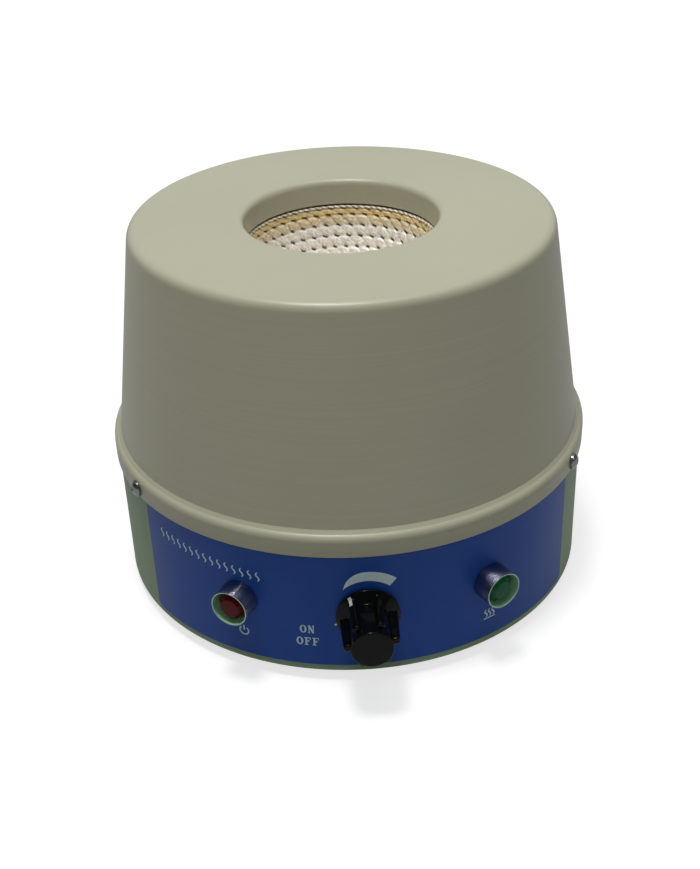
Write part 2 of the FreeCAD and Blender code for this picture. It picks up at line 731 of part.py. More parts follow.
# ---------------------------------------------------------------- heating bowl
def row_point(index, radius):
    """Point on the bowl's half section at the foot of a row of yarn."""
    angle = math.radians(90.0 * index / number("row_count"))
    return FreeCAD.Vector(radius * math.cos(angle), 0,
                          number(BOWL_MID) - radius * math.sin(angle))


def cap_arc(rim, pole):
    """Arc from a rim point to a pole on the Z axis, level at the pole."""
    rise = pole.z - rim.z
    radius = (rim.x ** 2 + rise ** 2) / (2 * rise)
    half = math.asin(rim.x / radius) / 2
    middle = FreeCAD.Vector(radius * math.sin(half), 0, pole.z - radius * (1 - math.cos(half)))
    return Part.Arc(rim, middle, pole).toShape()


def make_heating_bowl():
    """Woven bowl: rows of yarn as ridges round the inside, with pinholes between rows."""
    rows, crest = int(number("row_count")), number("bowl_rad")
    valley, outside, spare = crest + number("row_deep"), number(BOWL_OUT), number("sheet")
    edges = []
    for index in range(rows - 1):
        start, end = row_point(index, valley), row_point(index + 1, valley)
        edges.append(Part.Arc(start, row_point(index + 0.5, crest), end).toShape())
    edges.append(cap_arc(row_point(rows - 1, valley), row_point(rows, crest)))
    foot = row_point(rows, outside)
    edges.append(Part.LineSegment(row_point(rows, crest), foot).toShape())
    edges.append(Part.Arc(foot, row_point(rows / 2, outside), row_point(0, outside)).toShape())
    edges.append(Part.LineSegment(row_point(0, outside), row_point(0, valley)).toShape())
    half = Part.Face(Part.Wire(edges))
    bowl = half.revolve(FreeCAD.Vector(), FreeCAD.Vector(0, 0, 1), 360)
    middle = FreeCAD.Vector(0, 0, number(BOWL_MID))
    needles = []
    count = int(number("pin_count"))
    for row in range(1, int(number("pin_rows")) + 1):
        for index in range(count):
            aim = row_point(row, 1.0) - FreeCAD.Vector(0, 0, number(BOWL_MID))
            turn = FreeCAD.Rotation(FreeCAD.Vector(0, 0, 1), 360.0 * (index + row / 2) / count)
            aim = turn.multVec(aim)
            needles.append(Part.makeCylinder(number("pin_rad"), outside - crest + 2 * spare,
                                             middle + aim * (crest - spare), aim))
    piece = doc.addObject("Part::Feature", "heating_bowl")
    piece.Shape = bowl.cut(Part.makeCompound(needles)) if needles else bowl
    keep("heating_bowl", piece)


def make_bowl_supports():
    """Hem roll round the lip, packed wool, the shield below it and its spacers."""
    hem = doc.addObject("Part::Torus", "bowl_hem")
    hem.setExpression("Radius1", bound("mouth_rad + sheet + soft_gap + hem_rad"))
    hem.setExpression("Radius2", bound("hem_rad"))
    keep("bowl_hem", put(hem, place(z=f"{BOWL_MID} + soft_gap + hem_rad")))
    wool_rad = f"({BOWL_OUT} + soft_gap)"
    wool_foot_rad = f"({SHIELD_RAD} - 6 * soft_gap)"
    wool_low = f"({SHIELD_TOP} + soft_gap)"
    wool_top = f"({BOWL_MID} + 2 * hem_rad + 2 * soft_gap)"
    hem_out = "(mouth_rad + sheet + 2 * soft_gap + 2 * hem_rad)"
    wool_lean = f"({wool_foot_rad} - {CONE_LEAN} * ({wool_top} - {wool_low}))"
    wool = turned("wool_packing", [
        ("0", wool_low), (wool_foot_rad, wool_low), (wool_lean, wool_top),
        (hem_out, wool_top), (hem_out, f"{BOWL_MID} - soft_gap"),
        (wool_rad, f"{BOWL_MID} - soft_gap"), (wool_rad, BOWL_MID, {"arc": f"-{wool_rad}"}),
        ("0", f"{BOWL_MID} - {wool_rad}")])
    pockets = [rod(f"wool_pocket_{index}", "nut_flats", "2 * nut_flats",
                   f"{SHIELD_TOP} - sheet", where)
               for index, where in enumerate(SPACER_PLACES, 1)]
    leads = [rod(f"wool_lead_{index}", "lead_rad + soft_gap", "top_height / 2", SHIELD_TOP,
                 place(x=f"{side} * lead_shift")) for index, side in enumerate((-1, 1), 1)]
    keep("insulation_wool", cut("insulation_wool", wool, pockets + leads))
    disc = rod("shield_blank", SHIELD_RAD, "sheet", "shield_height")
    holes = [rod(f"shield_drill_{index}", SCREW_HOLE, "3 * sheet",
                 "shield_height - sheet", where) for index, where in enumerate(SPACER_PLACES, 1)]
    holes += [rod(f"shield_lead_{index}", "grommet_rad / 2", "3 * sheet",
                  "shield_height - sheet", place(x=f"{side} * lead_shift"))
              for index, side in enumerate((-1, 1), 1)]
    keep("heat_shield", cut("heat_shield", disc, holes))
    tube = turned("shield_spacer", box_corners(SCREW_HOLE, f"{PAN_FLOOR} + seat_gap",
                                               "spacer_rad", "shield_height - seat_gap"))
    keep("shield_spacers", group("shield_spacers", tube, SPACER_PLACES))
    length = f"{SHIELD_TOP} - floor_gap + 2 * nut_thick"
    screw = pan_head("shield_screw", "screw_rad", "head_rad", "head_high", length)
    flip = place(z="floor_gap - seat_gap", tilt="180")
    keep("shield_screws", group("shield_screws", screw,
                                [f"{where} * {flip}" for where in SPACER_PLACES]))
    hexagon = nut("shield_nut", "nut_flats", "nut_thick", "screw_rad + seat_gap")
    lift = place(z=f"{SHIELD_TOP} + seat_gap")
    keep("shield_nuts", group("shield_nuts", hexagon,
                              [f"{where} * {lift}" for where in SPACER_PLACES]))


# ---------------------------------------------------------------- mains inlet
def socket_corners():
    """Outline of the socket: two of its corners are cut on the earth pin's side."""
    half, top = "socket_wide / 2", "socket_high / 2"
    return [(f"-{half}", f"-{top}"), (half, f"-{top}"),
            (half, f"{top} - socket_cut"), (f"{half} - socket_cut", top),
            (f"socket_cut - {half}", top), (f"-{half}", f"{top} - socket_cut")]


def flange_corners():
    """Outline of the inlet's flange."""
    half, top = "inlet_wide / 2", "inlet_high / 2"
    return [(x, y, {"round": "film_corner"}) for x, y in
            ((f"-{half}", f"-{top}"), (half, f"-{top}"), (half, top), (f"-{half}", top))]


PIN_SPOTS = [("-pin_pitch / 2", "-pin_step / 2"), ("pin_pitch / 2", "-pin_step / 2"),
             ("0", "pin_step / 2")]


def make_inlet():
    """Mains inlet: moulding with its socket, three pins, two screws and nuts."""
    screw_spots = [(f"{side} * inlet_screw_pitch / 2", "0", SMALL_HOLE) for side in (-1, 1)]
    flange = plate("inlet_flange", flange_corners(), "seat_gap", "inlet_flange", screw_spots)
    half, top = "inlet_body_wide / 2", "inlet_body_high / 2"
    case = plate("inlet_case", box_corners(f"-{half}", f"-{top}", half, top),
                 "seat_gap + inlet_flange - inlet_deep", "inlet_deep")
    socket = plate("inlet_socket", socket_corners(),
                   "seat_gap + inlet_flange - socket_deep", "2 * socket_deep")
    slots = [block(f"pin_slot_{index}", x, y, "-inlet_deep * 2", "pin_wide + 2 * seat_gap",
                   "pin_high + 2 * seat_gap", "inlet_deep * 2")
             for index, (x, y) in enumerate(PIN_SPOTS, 1)]
    housing = cut("inlet_housing", fuse("inlet_moulding", [flange, case]), [socket] + slots)
    keep("inlet_housing", put(housing, INLET_PLACE))
    low = "seat_gap + inlet_flange - socket_deep - (inlet_deep - socket_deep) - pin_tail"
    length = "pin_out + (inlet_deep - socket_deep) + pin_tail"
    pins = [block(f"inlet_pin_{index}", x, y, low, "pin_wide", "pin_high", length)
            for index, (x, y) in enumerate(PIN_SPOTS, 1)]
    compound = doc.addObject("Part::Compound", "inlet_pins")
    compound.Links = pins
    keep("inlet_pins", put(compound, INLET_PLACE))
    screw_length = "inlet_flange + sheet + 2 * small_nut_thick"
    screw = pan_head("inlet_screw", "small_screw_rad", "small_head_rad", "small_head_high",
                     screw_length)
    lift = place(z="inlet_flange + 2 * seat_gap")
    keep("inlet_screws", group("inlet_screws", screw,
                               [f"{where} * {lift}" for where in INLET_SCREWS]))
    hexagon = nut("inlet_nut", "small_nut_flats", "small_nut_thick",
                  "small_screw_rad + seat_gap")
    drop = place(z="-(sheet + seat_gap + small_nut_thick)")
    keep("inlet_nuts", group("inlet_nuts", hexagon,
                             [f"{where} * {drop}" for where in INLET_SCREWS]))


# ---------------------------------------------------------------- control board and wiring
def make_control_board():
    """Board on four posts, with its heat sink and the power device clipped to it."""
    half, deep = "board_wide / 2", "board_deep / 2"
    low = f"({PAN_FLOOR} + 2 * seat_gap + post_high)"
    spots = [(f"board_x + {side_x} * (board_wide / 2 - post_inset)",
              f"board_y + {side_y} * (board_deep / 2 - post_inset)", SMALL_HOLE)
             for side_x in (-1, 1) for side_y in (-1, 1)]
    board = plate("control_board", box_corners(f"board_x - {half}", f"board_y - {deep}",
                                               f"board_x + {half}", f"board_y + {deep}"),
                  low, "board_thick", spots)
    keep("control_board", board)
    post = turned("board_post", box_corners(SMALL_HOLE, f"{PAN_FLOOR} + seat_gap",
                                            "post_rad", f"{PAN_FLOOR} + seat_gap + post_high"))
    keep("board_posts", group("board_posts", post, BOARD_PLACES))
    top = f"({low} + board_thick)"
    length = f"{top} - floor_gap + small_nut_thick + sheet"
    screw = pan_head("board_screw", "small_screw_rad", "small_head_rad", "small_head_high", length)
    flip = place(z="floor_gap - seat_gap", tilt="180")
    keep("board_screws", group("board_screws", screw,
                               [f"{where} * {flip}" for where in BOARD_PLACES]))
    hexagon = nut("board_nut", "small_nut_flats", "small_nut_thick",
                  "small_screw_rad + seat_gap")
    lift = place(z=f"{top} + seat_gap")
    keep("board_nuts", group("board_nuts", hexagon,
                             [f"{where} * {lift}" for where in BOARD_PLACES]))
    web = block("sink_web", "board_x", "board_y", f"{top} + seat_gap",
                "sink_wide", "sink_base", "sink_high")
    pitch = "(sink_wide - fin_thick) / (fin_count - 1)"
    fins = [block(f"sink_fin_{index}", f"board_x - (sink_wide - fin_thick) / 2 + {index} * {pitch}",
                  "board_y + sink_deep / 2", f"{top} + seat_gap",
                  "fin_thick", "sink_deep", "sink_high")
            for index in range(int(number("fin_count")))]
    keep("heat_sink", fuse("heat_sink", [web] + fins))
    device = block("triac", "board_x", "board_y - sink_base / 2 - seat_gap - triac_thick / 2",
                   f"{top} + seat_gap + sheet", "triac_wide", "triac_thick", "triac_high")
    keep("triac", device)


def make_terminals():
    """Ceramic terminal block with brass ways, its screw, the earth stud and the leads."""
    low = f"({PAN_FLOOR} + seat_gap)"
    body = block("block_blank", "0", "block_y", low, "block_wide", "block_deep", "block_high")
    ways = [place(x=f"{side} * way_pitch", y="block_y", z=f"{low} + block_high / 2", tilt="90")
            for side in (-1, 0, 1)]
    screw_ways = [place(x=f"{side} * way_pitch", y="block_y") for side in (-1, 1)]
    bores = [rod(f"way_bore_{index}", "way_rad + seat_gap", "2 * block_deep", "-block_deep", where)
             for index, where in enumerate((ways[0], ways[2]), 1)]
    bores += [rod(f"way_shaft_{index}", "way_rad / 2 + seat_gap", "block_high",
                  f"{low} + block_high / 2", where) for index, where in enumerate(screw_ways, 1)]
    bores.append(rod("block_bore", SMALL_HOLE, "2 * block_high", "0", BLOCK_PLACE))
    keep("terminal_block", cut("terminal_block", body, bores))
    sleeve = turned("terminal_way", box_corners("way_rad / 2", "-block_deep / 2 + sheet",
                                                "way_rad", "block_deep / 2 - sheet"))
    keep("terminal_inserts", group("terminal_inserts", sleeve, [ways[0], ways[2]]))
    length = "sheet + 2 * seat_gap + block_high + small_nut_thick + sheet"
    screw = pan_head("block_screw", "small_screw_rad", "small_head_rad", "small_head_high", length)
    flip = place(z="floor_gap - seat_gap", tilt="180")
    keep("terminal_screw", put(screw, f"{BLOCK_PLACE} * {flip}"))
    hexagon = nut("block_nut", "small_nut_flats", "small_nut_thick",
                  "small_screw_rad + seat_gap")
    keep("terminal_nut", put(hexagon, place(y="block_y", z=f"{low} + block_high + seat_gap")))
    stud = pan_head("earth_stud", "screw_rad", "head_rad", "head_high", "sheet + 4 * nut_thick")
    keep("earth_screw", put(stud, f"{EARTH_PLACE} * {flip}"))
    washer_nut = nut("earth_ring", "nut_flats", "nut_thick", "screw_rad + seat_gap")
    keep("earth_nut", put(washer_nut, f"{EARTH_PLACE} * {place(z=low)}"))


def make_leads():
    """Sleeved leads from the bowl down through the shield to the terminal block."""
    start = f"({BOWL_MID} - sqrt({BOWL_OUT}^2 - (lead_shift - lead_rad)^2) - soft_gap)"
    floor = f"({PAN_FLOOR} + seat_gap + block_high / 2)"
    path = []
    for x, y, z in (("lead_shift", "0", start), ("lead_shift", "0", "shield_height - lead_drop"),
                    ("way_pitch", "block_y / 4", f"{floor} + lead_bend"),
                    ("way_pitch", "block_y / 3", floor),
                    ("way_pitch", "block_y + block_deep / 2 - sheet + seat_gap", floor)):
        path.append(FreeCAD.Vector(number(x), number(y), number(z)))
    edges, last = [], path[0]
    for before, corner, after in zip(path, path[1:], path[2:]):
        back, ahead = (before - corner), (after - corner)
        half = back.getAngle(ahead) / 2
        trim = 0.45 * min(back.Length, ahead.Length)
        start_arc = corner + back.normalize() * trim
        end_arc = corner + ahead.normalize() * trim
        bulge = (back + ahead).normalize()
        radius = trim * math.tan(half)
        middle = corner + bulge * (radius / math.sin(half) - radius)
        edges.append(Part.LineSegment(last, start_arc).toShape())
        edges.append(Part.Arc(start_arc, middle, end_arc).toShape())
        last = end_arc
    edges.append(Part.LineSegment(last, path[-1]).toShape())
    wire = Part.Wire(edges)
    ring = Part.Wire(Part.Circle(path[0], FreeCAD.Vector(0, 0, -1), number("lead_rad")).toShape())
    lead = wire.makePipeShell([ring], True, False)
    mirrored = lead.mirror(FreeCAD.Vector(), FreeCAD.Vector(1, 0, 0))
    for name, shape in (("heater_lead_right", lead), ("heater_lead_left", mirrored)):
        piece = doc.addObject("Part::Feature", name)
        piece.Shape = shape
        keep(name, piece)


make_upper_shell()
make_base_pan()
make_control_panel()
make_knob()
make_pot()
for colour, where in LAMP_PLACES.items():
    make_lamp(colour, where)
make_shell_screws()
make_feet()
make_heating_bowl()
make_bowl_supports()
make_inlet()
make_control_board()
make_terminals()
make_leads()
doc.recompute()

# ---------------------------------------------------------------- check and export
failed = [item.Name for item in doc.Objects if {"Invalid", "Error"} & set(item.State)]
if failed:
    raise RuntimeError(f"objects in error: {failed}")
os.makedirs("parts", exist_ok=True)
for label, piece in nodes.items():
    shape = piece.Shape
    if shape.isNull() or not shape.isValid() or shape.Volume <= 0:
        raise RuntimeError(f"{label}: shape is null, invalid or empty")
    print(f"{label}: {len(shape.Solids)} solids, {shape.Volume:.1f} mm3")
    shape.exportStep(f"parts/{label}.step")
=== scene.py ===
"""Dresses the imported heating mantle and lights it.

It shows the woven bowl, the knob, the printing, the lamps, the screws and the spun sheet metal.
Sizes in the classes are in millimetres, as on a workshop drawing, and the meshes are in metres.
Z is up, the control knob faces -Y, and azimuths are counted from -Y, positive towards +X.
"""

from __future__ import annotations

import json
import logging
from dataclasses import dataclass, field
from enum import Enum
from functools import cached_property
from math import asin, atan2, ceil, cos, degrees, exp, hypot, pi, radians, sin, sqrt, tan
from typing import Any, Iterable, Sequence, Union

import bmesh
import bpy
from mathutils import Matrix, Vector


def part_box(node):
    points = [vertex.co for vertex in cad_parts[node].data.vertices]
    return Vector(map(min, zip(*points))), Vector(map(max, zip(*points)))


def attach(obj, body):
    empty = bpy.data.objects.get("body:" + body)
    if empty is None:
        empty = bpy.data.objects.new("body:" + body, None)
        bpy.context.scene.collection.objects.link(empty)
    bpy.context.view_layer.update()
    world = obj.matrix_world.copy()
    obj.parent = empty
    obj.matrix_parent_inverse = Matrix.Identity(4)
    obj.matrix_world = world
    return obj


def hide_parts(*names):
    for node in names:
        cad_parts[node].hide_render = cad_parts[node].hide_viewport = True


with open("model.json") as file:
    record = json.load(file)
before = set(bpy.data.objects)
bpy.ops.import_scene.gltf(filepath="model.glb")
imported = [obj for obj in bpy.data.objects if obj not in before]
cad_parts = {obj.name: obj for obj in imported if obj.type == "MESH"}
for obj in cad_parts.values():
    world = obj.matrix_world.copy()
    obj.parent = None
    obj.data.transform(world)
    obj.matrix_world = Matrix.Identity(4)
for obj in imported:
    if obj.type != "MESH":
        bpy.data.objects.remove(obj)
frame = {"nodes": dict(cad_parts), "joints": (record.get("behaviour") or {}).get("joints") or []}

log = logging.getLogger("heating_mantle")

MM = 0.001
FULL_TURN = 2 * pi
ROUND_STEPS = 4
Pair = tuple[float, float]
Triple = tuple[float, float, float]
Colour = Triple
BMesh = bmesh.types.BMesh
Material = bpy.types.Material


# ---- shader arithmetic
class Signal:
    """One output socket of a node tree, with arithmetic that adds Math nodes."""

    def __init__(self, graph: Graph, socket: bpy.types.NodeSocket) -> None:
        """Keep the socket and the graph that it belongs to."""
        self.graph = graph
        self.socket = socket

    def __add__(self, other: Value) -> Signal:
        """Sum."""
        return self.graph.math("ADD", self, other)

    __radd__ = __add__

    def __mul__(self, other: Value) -> Signal:
        """Product."""
        return self.graph.math("MULTIPLY", self, other)

    __rmul__ = __mul__

    def __sub__(self, other: Value) -> Signal:
        """Difference."""
        return self.graph.math("SUBTRACT", self, other)

    def __rsub__(self, other: Value) -> Signal:
        """Difference from a plain number."""
        return self.graph.math("SUBTRACT", other, self)


Value = Union[Signal, float]


class Graph:
    """Node tree of one material or of the world."""

    def __init__(self, name: str, kind: str = "materials") -> None:
        """Start an empty tree.

        Args:
            name: name of the material or world.
            kind: "materials" or "worlds".
        """
        self.block = getattr(bpy.data, kind).new(name)
        self.block.use_nodes = True
        self.tree = self.block.node_tree
        self.tree.nodes.clear()

    def node(self, kind: str, settings: dict[str, Any], inputs: dict[Any, Any]) -> bpy.types.Node:
        """Add a node.

        Args:
            kind: the node's type.
            settings: properties set first; "stops" fills a colour ramp.
            inputs: values or signals by socket name or index.

        Returns:
            The new node.
        """
        made = self.tree.nodes.new(kind)
        for name, value in settings.items():
            if name == "stops":
                self._fill_ramp(made.color_ramp, value)
            else:
                setattr(made, name, value)
        for key, value in inputs.items():
            if isinstance(value, Signal):
                self.tree.links.new(value.socket, made.inputs[key])
            else:
                made.inputs[key].default_value = value
        return made

    def signal(self, kind: str, output: Any, settings: dict[str, Any],
               inputs: dict[Any, Any]) -> Signal:
        """Add a node and return one of its outputs as a signal."""
        return Signal(self, self.node(kind, settings, inputs).outputs[output])

    @staticmethod
    def _fill_ramp(ramp: bpy.types.ColorRamp, stops: Sequence[tuple[float, Colour]]) -> None:
        """Set a ramp's stops from (position, colour) pairs."""
        while len(ramp.elements) > 1:
            ramp.elements.remove(ramp.elements[-1])
        ramp.elements[0].position = stops[0][0]
        ramp.elements[0].color = (*stops[0][1], 1.0)
        for position, colour in stops[1:]:
            ramp.elements.new(position).color = (*colour, 1.0)

    def math(self, operation: str, left: Value, right: Value) -> Signal:
        """Add a Math node on two values."""
        return self.signal("ShaderNodeMath", 0, {"operation": operation}, {0: left, 1: right})

    def ramped(self, value: Value, low: float, high: float,
               start: float = 0.0, end: float = 1.0) -> Signal:
        """Map a value from low..high onto start..end, clamped and smooth."""
        return self.signal("ShaderNodeMapRange", "Result", {"interpolation_type": "SMOOTHSTEP"},
                           {"Value": value, "From Min": low, "From Max": high,
                            "To Min": start, "To Max": end})

    @cached_property
    def place(self) -> Signal:
        """Object coordinates, in metres."""
        return self.signal("ShaderNodeTexCoord", "Object", {}, {})

    def rays(self) -> tuple[Signal, Signal]:
        """Whether a ray is a camera or transmission ray, and whether it is a glossy one."""
        path = self.node("ShaderNodeLightPath", {}, {})
        camera, passing, glossy = (Signal(self, path.outputs[f"Is {kind} Ray"])
                                   for kind in ("Camera", "Transmission", "Glossy"))
        return self.math("MAXIMUM", camera, passing), glossy

    def attribute(self, name: str, output: str = "Fac") -> Signal:
        """A named attribute of the piece."""
        return self.signal("ShaderNodeAttribute", output, {"attribute_name": name}, {})

    def noise(self, scale: float, detail: float = 2.0, place: Signal | None = None) -> Signal:
        """Noise between about 0.25 and 0.75."""
        return self.signal("ShaderNodeTexNoise", "Fac", {},
                           {"Vector": place or self.place, "Scale": scale, "Detail": detail})

    def drawn(self, scales: Triple, detail: float = 2.0, place: Signal | None = None) -> Signal:
        """Noise with a scale for each axis."""
        spread = self.signal("ShaderNodeMapping", "Vector", {},
                             {"Vector": place or self.place, "Scale": scales})
        return self.noise(1.0, detail, spread)

    def mix(self, factor: Value, first: Any, second: Any) -> Signal:
        """Blend two colours."""
        pair = [item if isinstance(item, Signal) else (*item, 1.0) for item in (first, second)]
        return self.signal("ShaderNodeMix", 2, {"data_type": "RGBA"},
                           {0: factor, 6: pair[0], 7: pair[1]})

    def bump(self, height: Value, depth: float, under: Signal | None = None) -> Signal:
        """Normal from a height signal; depth is in millimetres."""
        inputs: dict[Any, Any] = {"Height": height, "Distance": depth * MM}
        if under is not None:
            inputs["Normal"] = under
        return self.signal("ShaderNodeBump", "Normal", {}, inputs)

    def finish(self, **inputs: Any) -> Material:
        """Close the tree with a Principled shader.

        Args:
            **inputs: numbers or signals by socket name, with "_" for a space.

        Returns:
            The finished material.
        """
        sockets = {name.replace("_", " "): value for name, value in inputs.items()}
        shader = self.signal("ShaderNodeBsdfPrincipled", 0, {}, sockets)
        self.node("ShaderNodeOutputMaterial", {}, {"Surface": shader})
        return self.block


def scaled(colour: Colour, factor: float) -> Colour:
    """Colour made lighter or darker."""
    return tuple(min(part * factor, 1.0) for part in colour)


# ---- finishes
@dataclass(frozen=True)
class Finish:
    """Name and main colour of a finish."""

    name: str
    colour: Colour

    def tones(self, graph: Graph, factor: Value, dark: float, light: float) -> Signal:
        """Blend a darker and a lighter tone of the main colour."""
        return graph.mix(factor, scaled(self.colour, dark), scaled(self.colour, light))


@dataclass(frozen=True)
class StovedPaint(Finish):
    """Satin stoved paint on sheet, with the faint lines of spinning where streak is high."""

    roughness: float
    streak: float

    def material(self) -> Material:
        """Build the node tree."""
        graph = Graph(self.name)
        cloud, grain = graph.noise(14.0, 3.0), graph.noise(1500.0)
        lines = graph.drawn((5.0, 5.0, 1100.0), 4.0)
        tone = 0.5 + (cloud - 0.5) * 0.7 + (grain - 0.5) * 0.35 + (lines - 0.5) * self.streak
        rough = self.roughness + (cloud - 0.5) * 0.06 + (lines - 0.5) * self.streak * 0.08
        peel = graph.bump(graph.noise(420.0), 0.02)
        normal = graph.bump(lines, 0.004 * self.streak + 0.001, peel)
        return graph.finish(Base_Color=self.tones(graph, tone, 0.93, 1.07), Roughness=rough,
                            Normal=normal, Specular_IOR_Level=0.45)


@dataclass(frozen=True)
class PrintedFilm(Finish):
    """Polyester film printed from behind, with a fine matt tooth."""

    def material(self) -> Material:
        """Build the node tree."""
        graph = Graph(self.name)
        cloud, tooth = graph.noise(22.0, 3.0), graph.noise(2600.0, 1.0)
        colour = self.tones(graph, cloud * 0.7 + tooth * 0.3, 0.88, 1.12)
        return graph.finish(Base_Color=colour, Roughness=0.38 + (tooth - 0.5) * 0.12,
                            Specular_IOR_Level=0.2, Normal=graph.bump(tooth, 0.006))


@dataclass(frozen=True)
class Moulding(Finish):
    """Moulded plastic or rubber: a little uneven in gloss, with a fine skin."""

    roughness: float
    skin: float
    gloss: float = 0.5

    def material(self) -> Material:
        """Build the node tree."""
        graph = Graph(self.name)
        cloud, skin = graph.noise(90.0, 3.0), graph.noise(1400.0)
        return graph.finish(Base_Color=self.tones(graph, cloud, 0.85, 1.15),
                            Roughness=self.roughness * (0.8 + cloud * 0.4),
                            Specular_IOR_Level=self.gloss, Normal=graph.bump(skin, self.skin))


@dataclass(frozen=True)
class Metal(Finish):
    """Bare or plated metal with fine machining marks across one axis."""

    roughness: float
    marks: Triple = (60.0, 60.0, 2400.0)
    depth: float = 0.002

    def material(self) -> Material:
        """Build the node tree."""
        graph = Graph(self.name)
        cloud, lines = graph.noise(160.0, 3.0), graph.drawn(self.marks, 3.0)
        return graph.finish(Base_Color=self.tones(graph, cloud, 0.9, 1.06), Metallic=1.0,
                            Roughness=self.roughness * (0.7 + cloud * 0.3 + lines * 0.3),
                            Normal=graph.bump(lines, self.depth))


@dataclass(frozen=True)
class LensMoulding(Finish):
    """Clear coloured moulding with paler clouds in it."""

    glow: Colour

    def material(self) -> Material:
        """Build the node tree."""
        graph = Graph(self.name)
        cloud = graph.noise(260.0)
        return graph.finish(Base_Color=graph.mix(cloud, scaled(self.colour, 0.8), self.glow),
                            Roughness=0.05 + cloud * 0.06, Transmission_Weight=0.2, IOR=1.49,
                            Specular_IOR_Level=0.07, Normal=graph.bump(cloud, 0.01))


@dataclass(frozen=True)
class PlatedCup(Finish):
    """Bright plate outside, coloured dark blue-grey as a painted reflection of the blue film, and a satin
    reflector inside the cup, coloured green as a painted reflection of green surroundings.
    """

    # dark blue-grey outside: painted reflection of the blue film
    colour: Colour = (0.28, 0.28, 0.37)
    # green inside the cup: painted reflection of green surroundings
    cup: Colour = (0.52, 1.0, 0.62)

    def material(self) -> Material:
        """Build the node tree."""
        graph = Graph(self.name)
        inside, cloud = graph.attribute("cup"), graph.noise(180.0, 3.0)
        lines = graph.drawn((0.05, 0.05, 45.0), 2.0, graph.attribute("turned", "Vector"))
        # painted reflection: the cup's inside in its green tones
        green_reflection = graph.mix(cloud, scaled(self.cup, 0.8), scaled(self.cup, 1.1))
        colour = graph.mix(inside, self.tones(graph, cloud, 0.85, 1.08), green_reflection)
        return graph.finish(Base_Color=colour, Metallic=1.0 - inside * 0.6,
                            Roughness=0.14 + lines * 0.05 + inside * 0.22,
                            Normal=graph.bump(lines * (1.0 - inside * 0.9), 0.06))


@dataclass(frozen=True)
class GlassYarn:
    """Twisted glass yarn: golden near the rim from its binder, silvery deeper in the bowl, with painted
    shade in the pits between stitches and painted highlights along the tops of the rows and on scattered
    fibres.
    """

    name: str
    rim: Colour = (1.0, 0.95, 0.80)
    binder: Colour = (0.95, 0.71, 0.29)
    half_way: Colour = (0.86, 0.71, 0.42)
    clean: Colour = (0.94, 0.89, 0.79)
    # near-white colour of the painted highlights
    bright: Colour = (1.0, 0.98, 0.93)
    # dark brown painted shade for the pits between stitches; also darkens random fibres a little
    pit_shade_and_fibre_dark: Colour = (0.13, 0.055, 0.010)

    def material(self) -> Material:
        """Build the node tree."""
        graph = Graph(self.name)
        spread = graph.attribute("yarn", "Vector")
        row = graph.attribute("row")
        rise = graph.attribute("rise")
        fibres = graph.drawn((9.0, 3.5, 1.0), 3.0, spread)
        strands = graph.drawn((3.0, 2.0, 1.0), 2.0, spread)
        # painted glints: scattered fibres turned near-white
        painted_glints = graph.ramped(graph.drawn((7.0, 5.0, 1.0), 2.0, spread), 0.54, 0.62)
        stain = graph.noise(60.0)
        tone = graph.signal("ShaderNodeValToRGB", "Color",
                            {"stops": ((0.0, self.rim), (0.085, self.rim), (0.11, self.binder),
                                       (0.18, self.binder), (0.25, self.half_way),
                                       (0.33, self.clean), (1.0, scaled(self.clean, 0.95)))},
                            {"Fac": row * 0.1 + (stain - 0.5) * 0.10})
        share = graph.math("FRACT", row, 0.0)
        # painted highlight: a lighter band along the top of each row, where its crest faces the ceiling
        # light
        painted_crest_highlight = graph.ramped(share, 0.02, 0.10) * graph.ramped(share, 0.34, 0.16)
        worn = graph.mix(graph.ramped(fibres, 0.34, 0.60), graph.mix(0.55, self.pit_shade_and_fibre_dark, tone), tone)
        # painted highlight colour: pale gold in the top rows, near-white deeper down
        highlight_colour = graph.mix(graph.ramped(row, 1.6, 2.6), scaled(self.half_way, 1.15), self.bright)
        lit = graph.mix(painted_glints * 0.6 + painted_crest_highlight * graph.ramped(strands, 0.35, 0.55) * 0.8, worn,
                        highlight_colour)
        # painted shade: the colour falls to the dark pit colour where the yarn sinks into the pits between
        # stitches
        colour = graph.mix(graph.ramped(rise, 0.15, 0.66), self.pit_shade_and_fibre_dark, lit)
        rough = 0.42 - strands * 0.3 + fibres * 0.1
        return graph.finish(Base_Color=colour, Roughness=rough, Specular_IOR_Level=0.8,
                            Normal=graph.bump(fibres * 0.6 + strands, 0.28))


@dataclass(frozen=True)
class Fibre(Finish):
    """Loose or tied fibre, such as packed wool or a braided sleeve."""

    pitch: float = 500.0

    def material(self) -> Material:
        """Build the node tree."""
        graph = Graph(self.name)
        strands, clumps = graph.noise(self.pitch, 5.0), graph.noise(self.pitch / 8, 3.0)
        colour = self.tones(graph, strands * 0.6 + clumps * 0.4, 0.7, 1.0)
        return graph.finish(Base_Color=colour, Roughness=0.9, Normal=graph.bump(strands, 0.25))


@dataclass(frozen=True)
class Ink(Finish):
    """Screen ink, a little thin where the mesh of the screen shows."""

    def material(self) -> Material:
        """Build the node tree."""
        graph = Graph(self.name)
        screen = graph.noise(1800.0)
        return graph.finish(Base_Color=self.tones(graph, screen, 0.82, 1.1),
                            Roughness=0.45 + screen * 0.1)


class Slot(Enum):
    """The record's material slots that the shown pieces use."""

    SHELL = "shell_paint"
    PAN = "pan_paint"
    FILM = "panel_film"
    BLACK = "black_moulding"
    DARK = "dark_moulding"
    PLATED = "plated_steel"
    ZINC = "zinc_steel"
    RED = "red_lens"
    GREEN = "green_lens"
    RUBBER = "rubber"
    YARN = "glass_yarn"
    WOOL = "mineral_wool"
    ALUMINIUM = "bare_aluminium"
    LAMINATE = "board_laminate"
    CERAMIC = "white_moulding"
    BRASS = "brass"


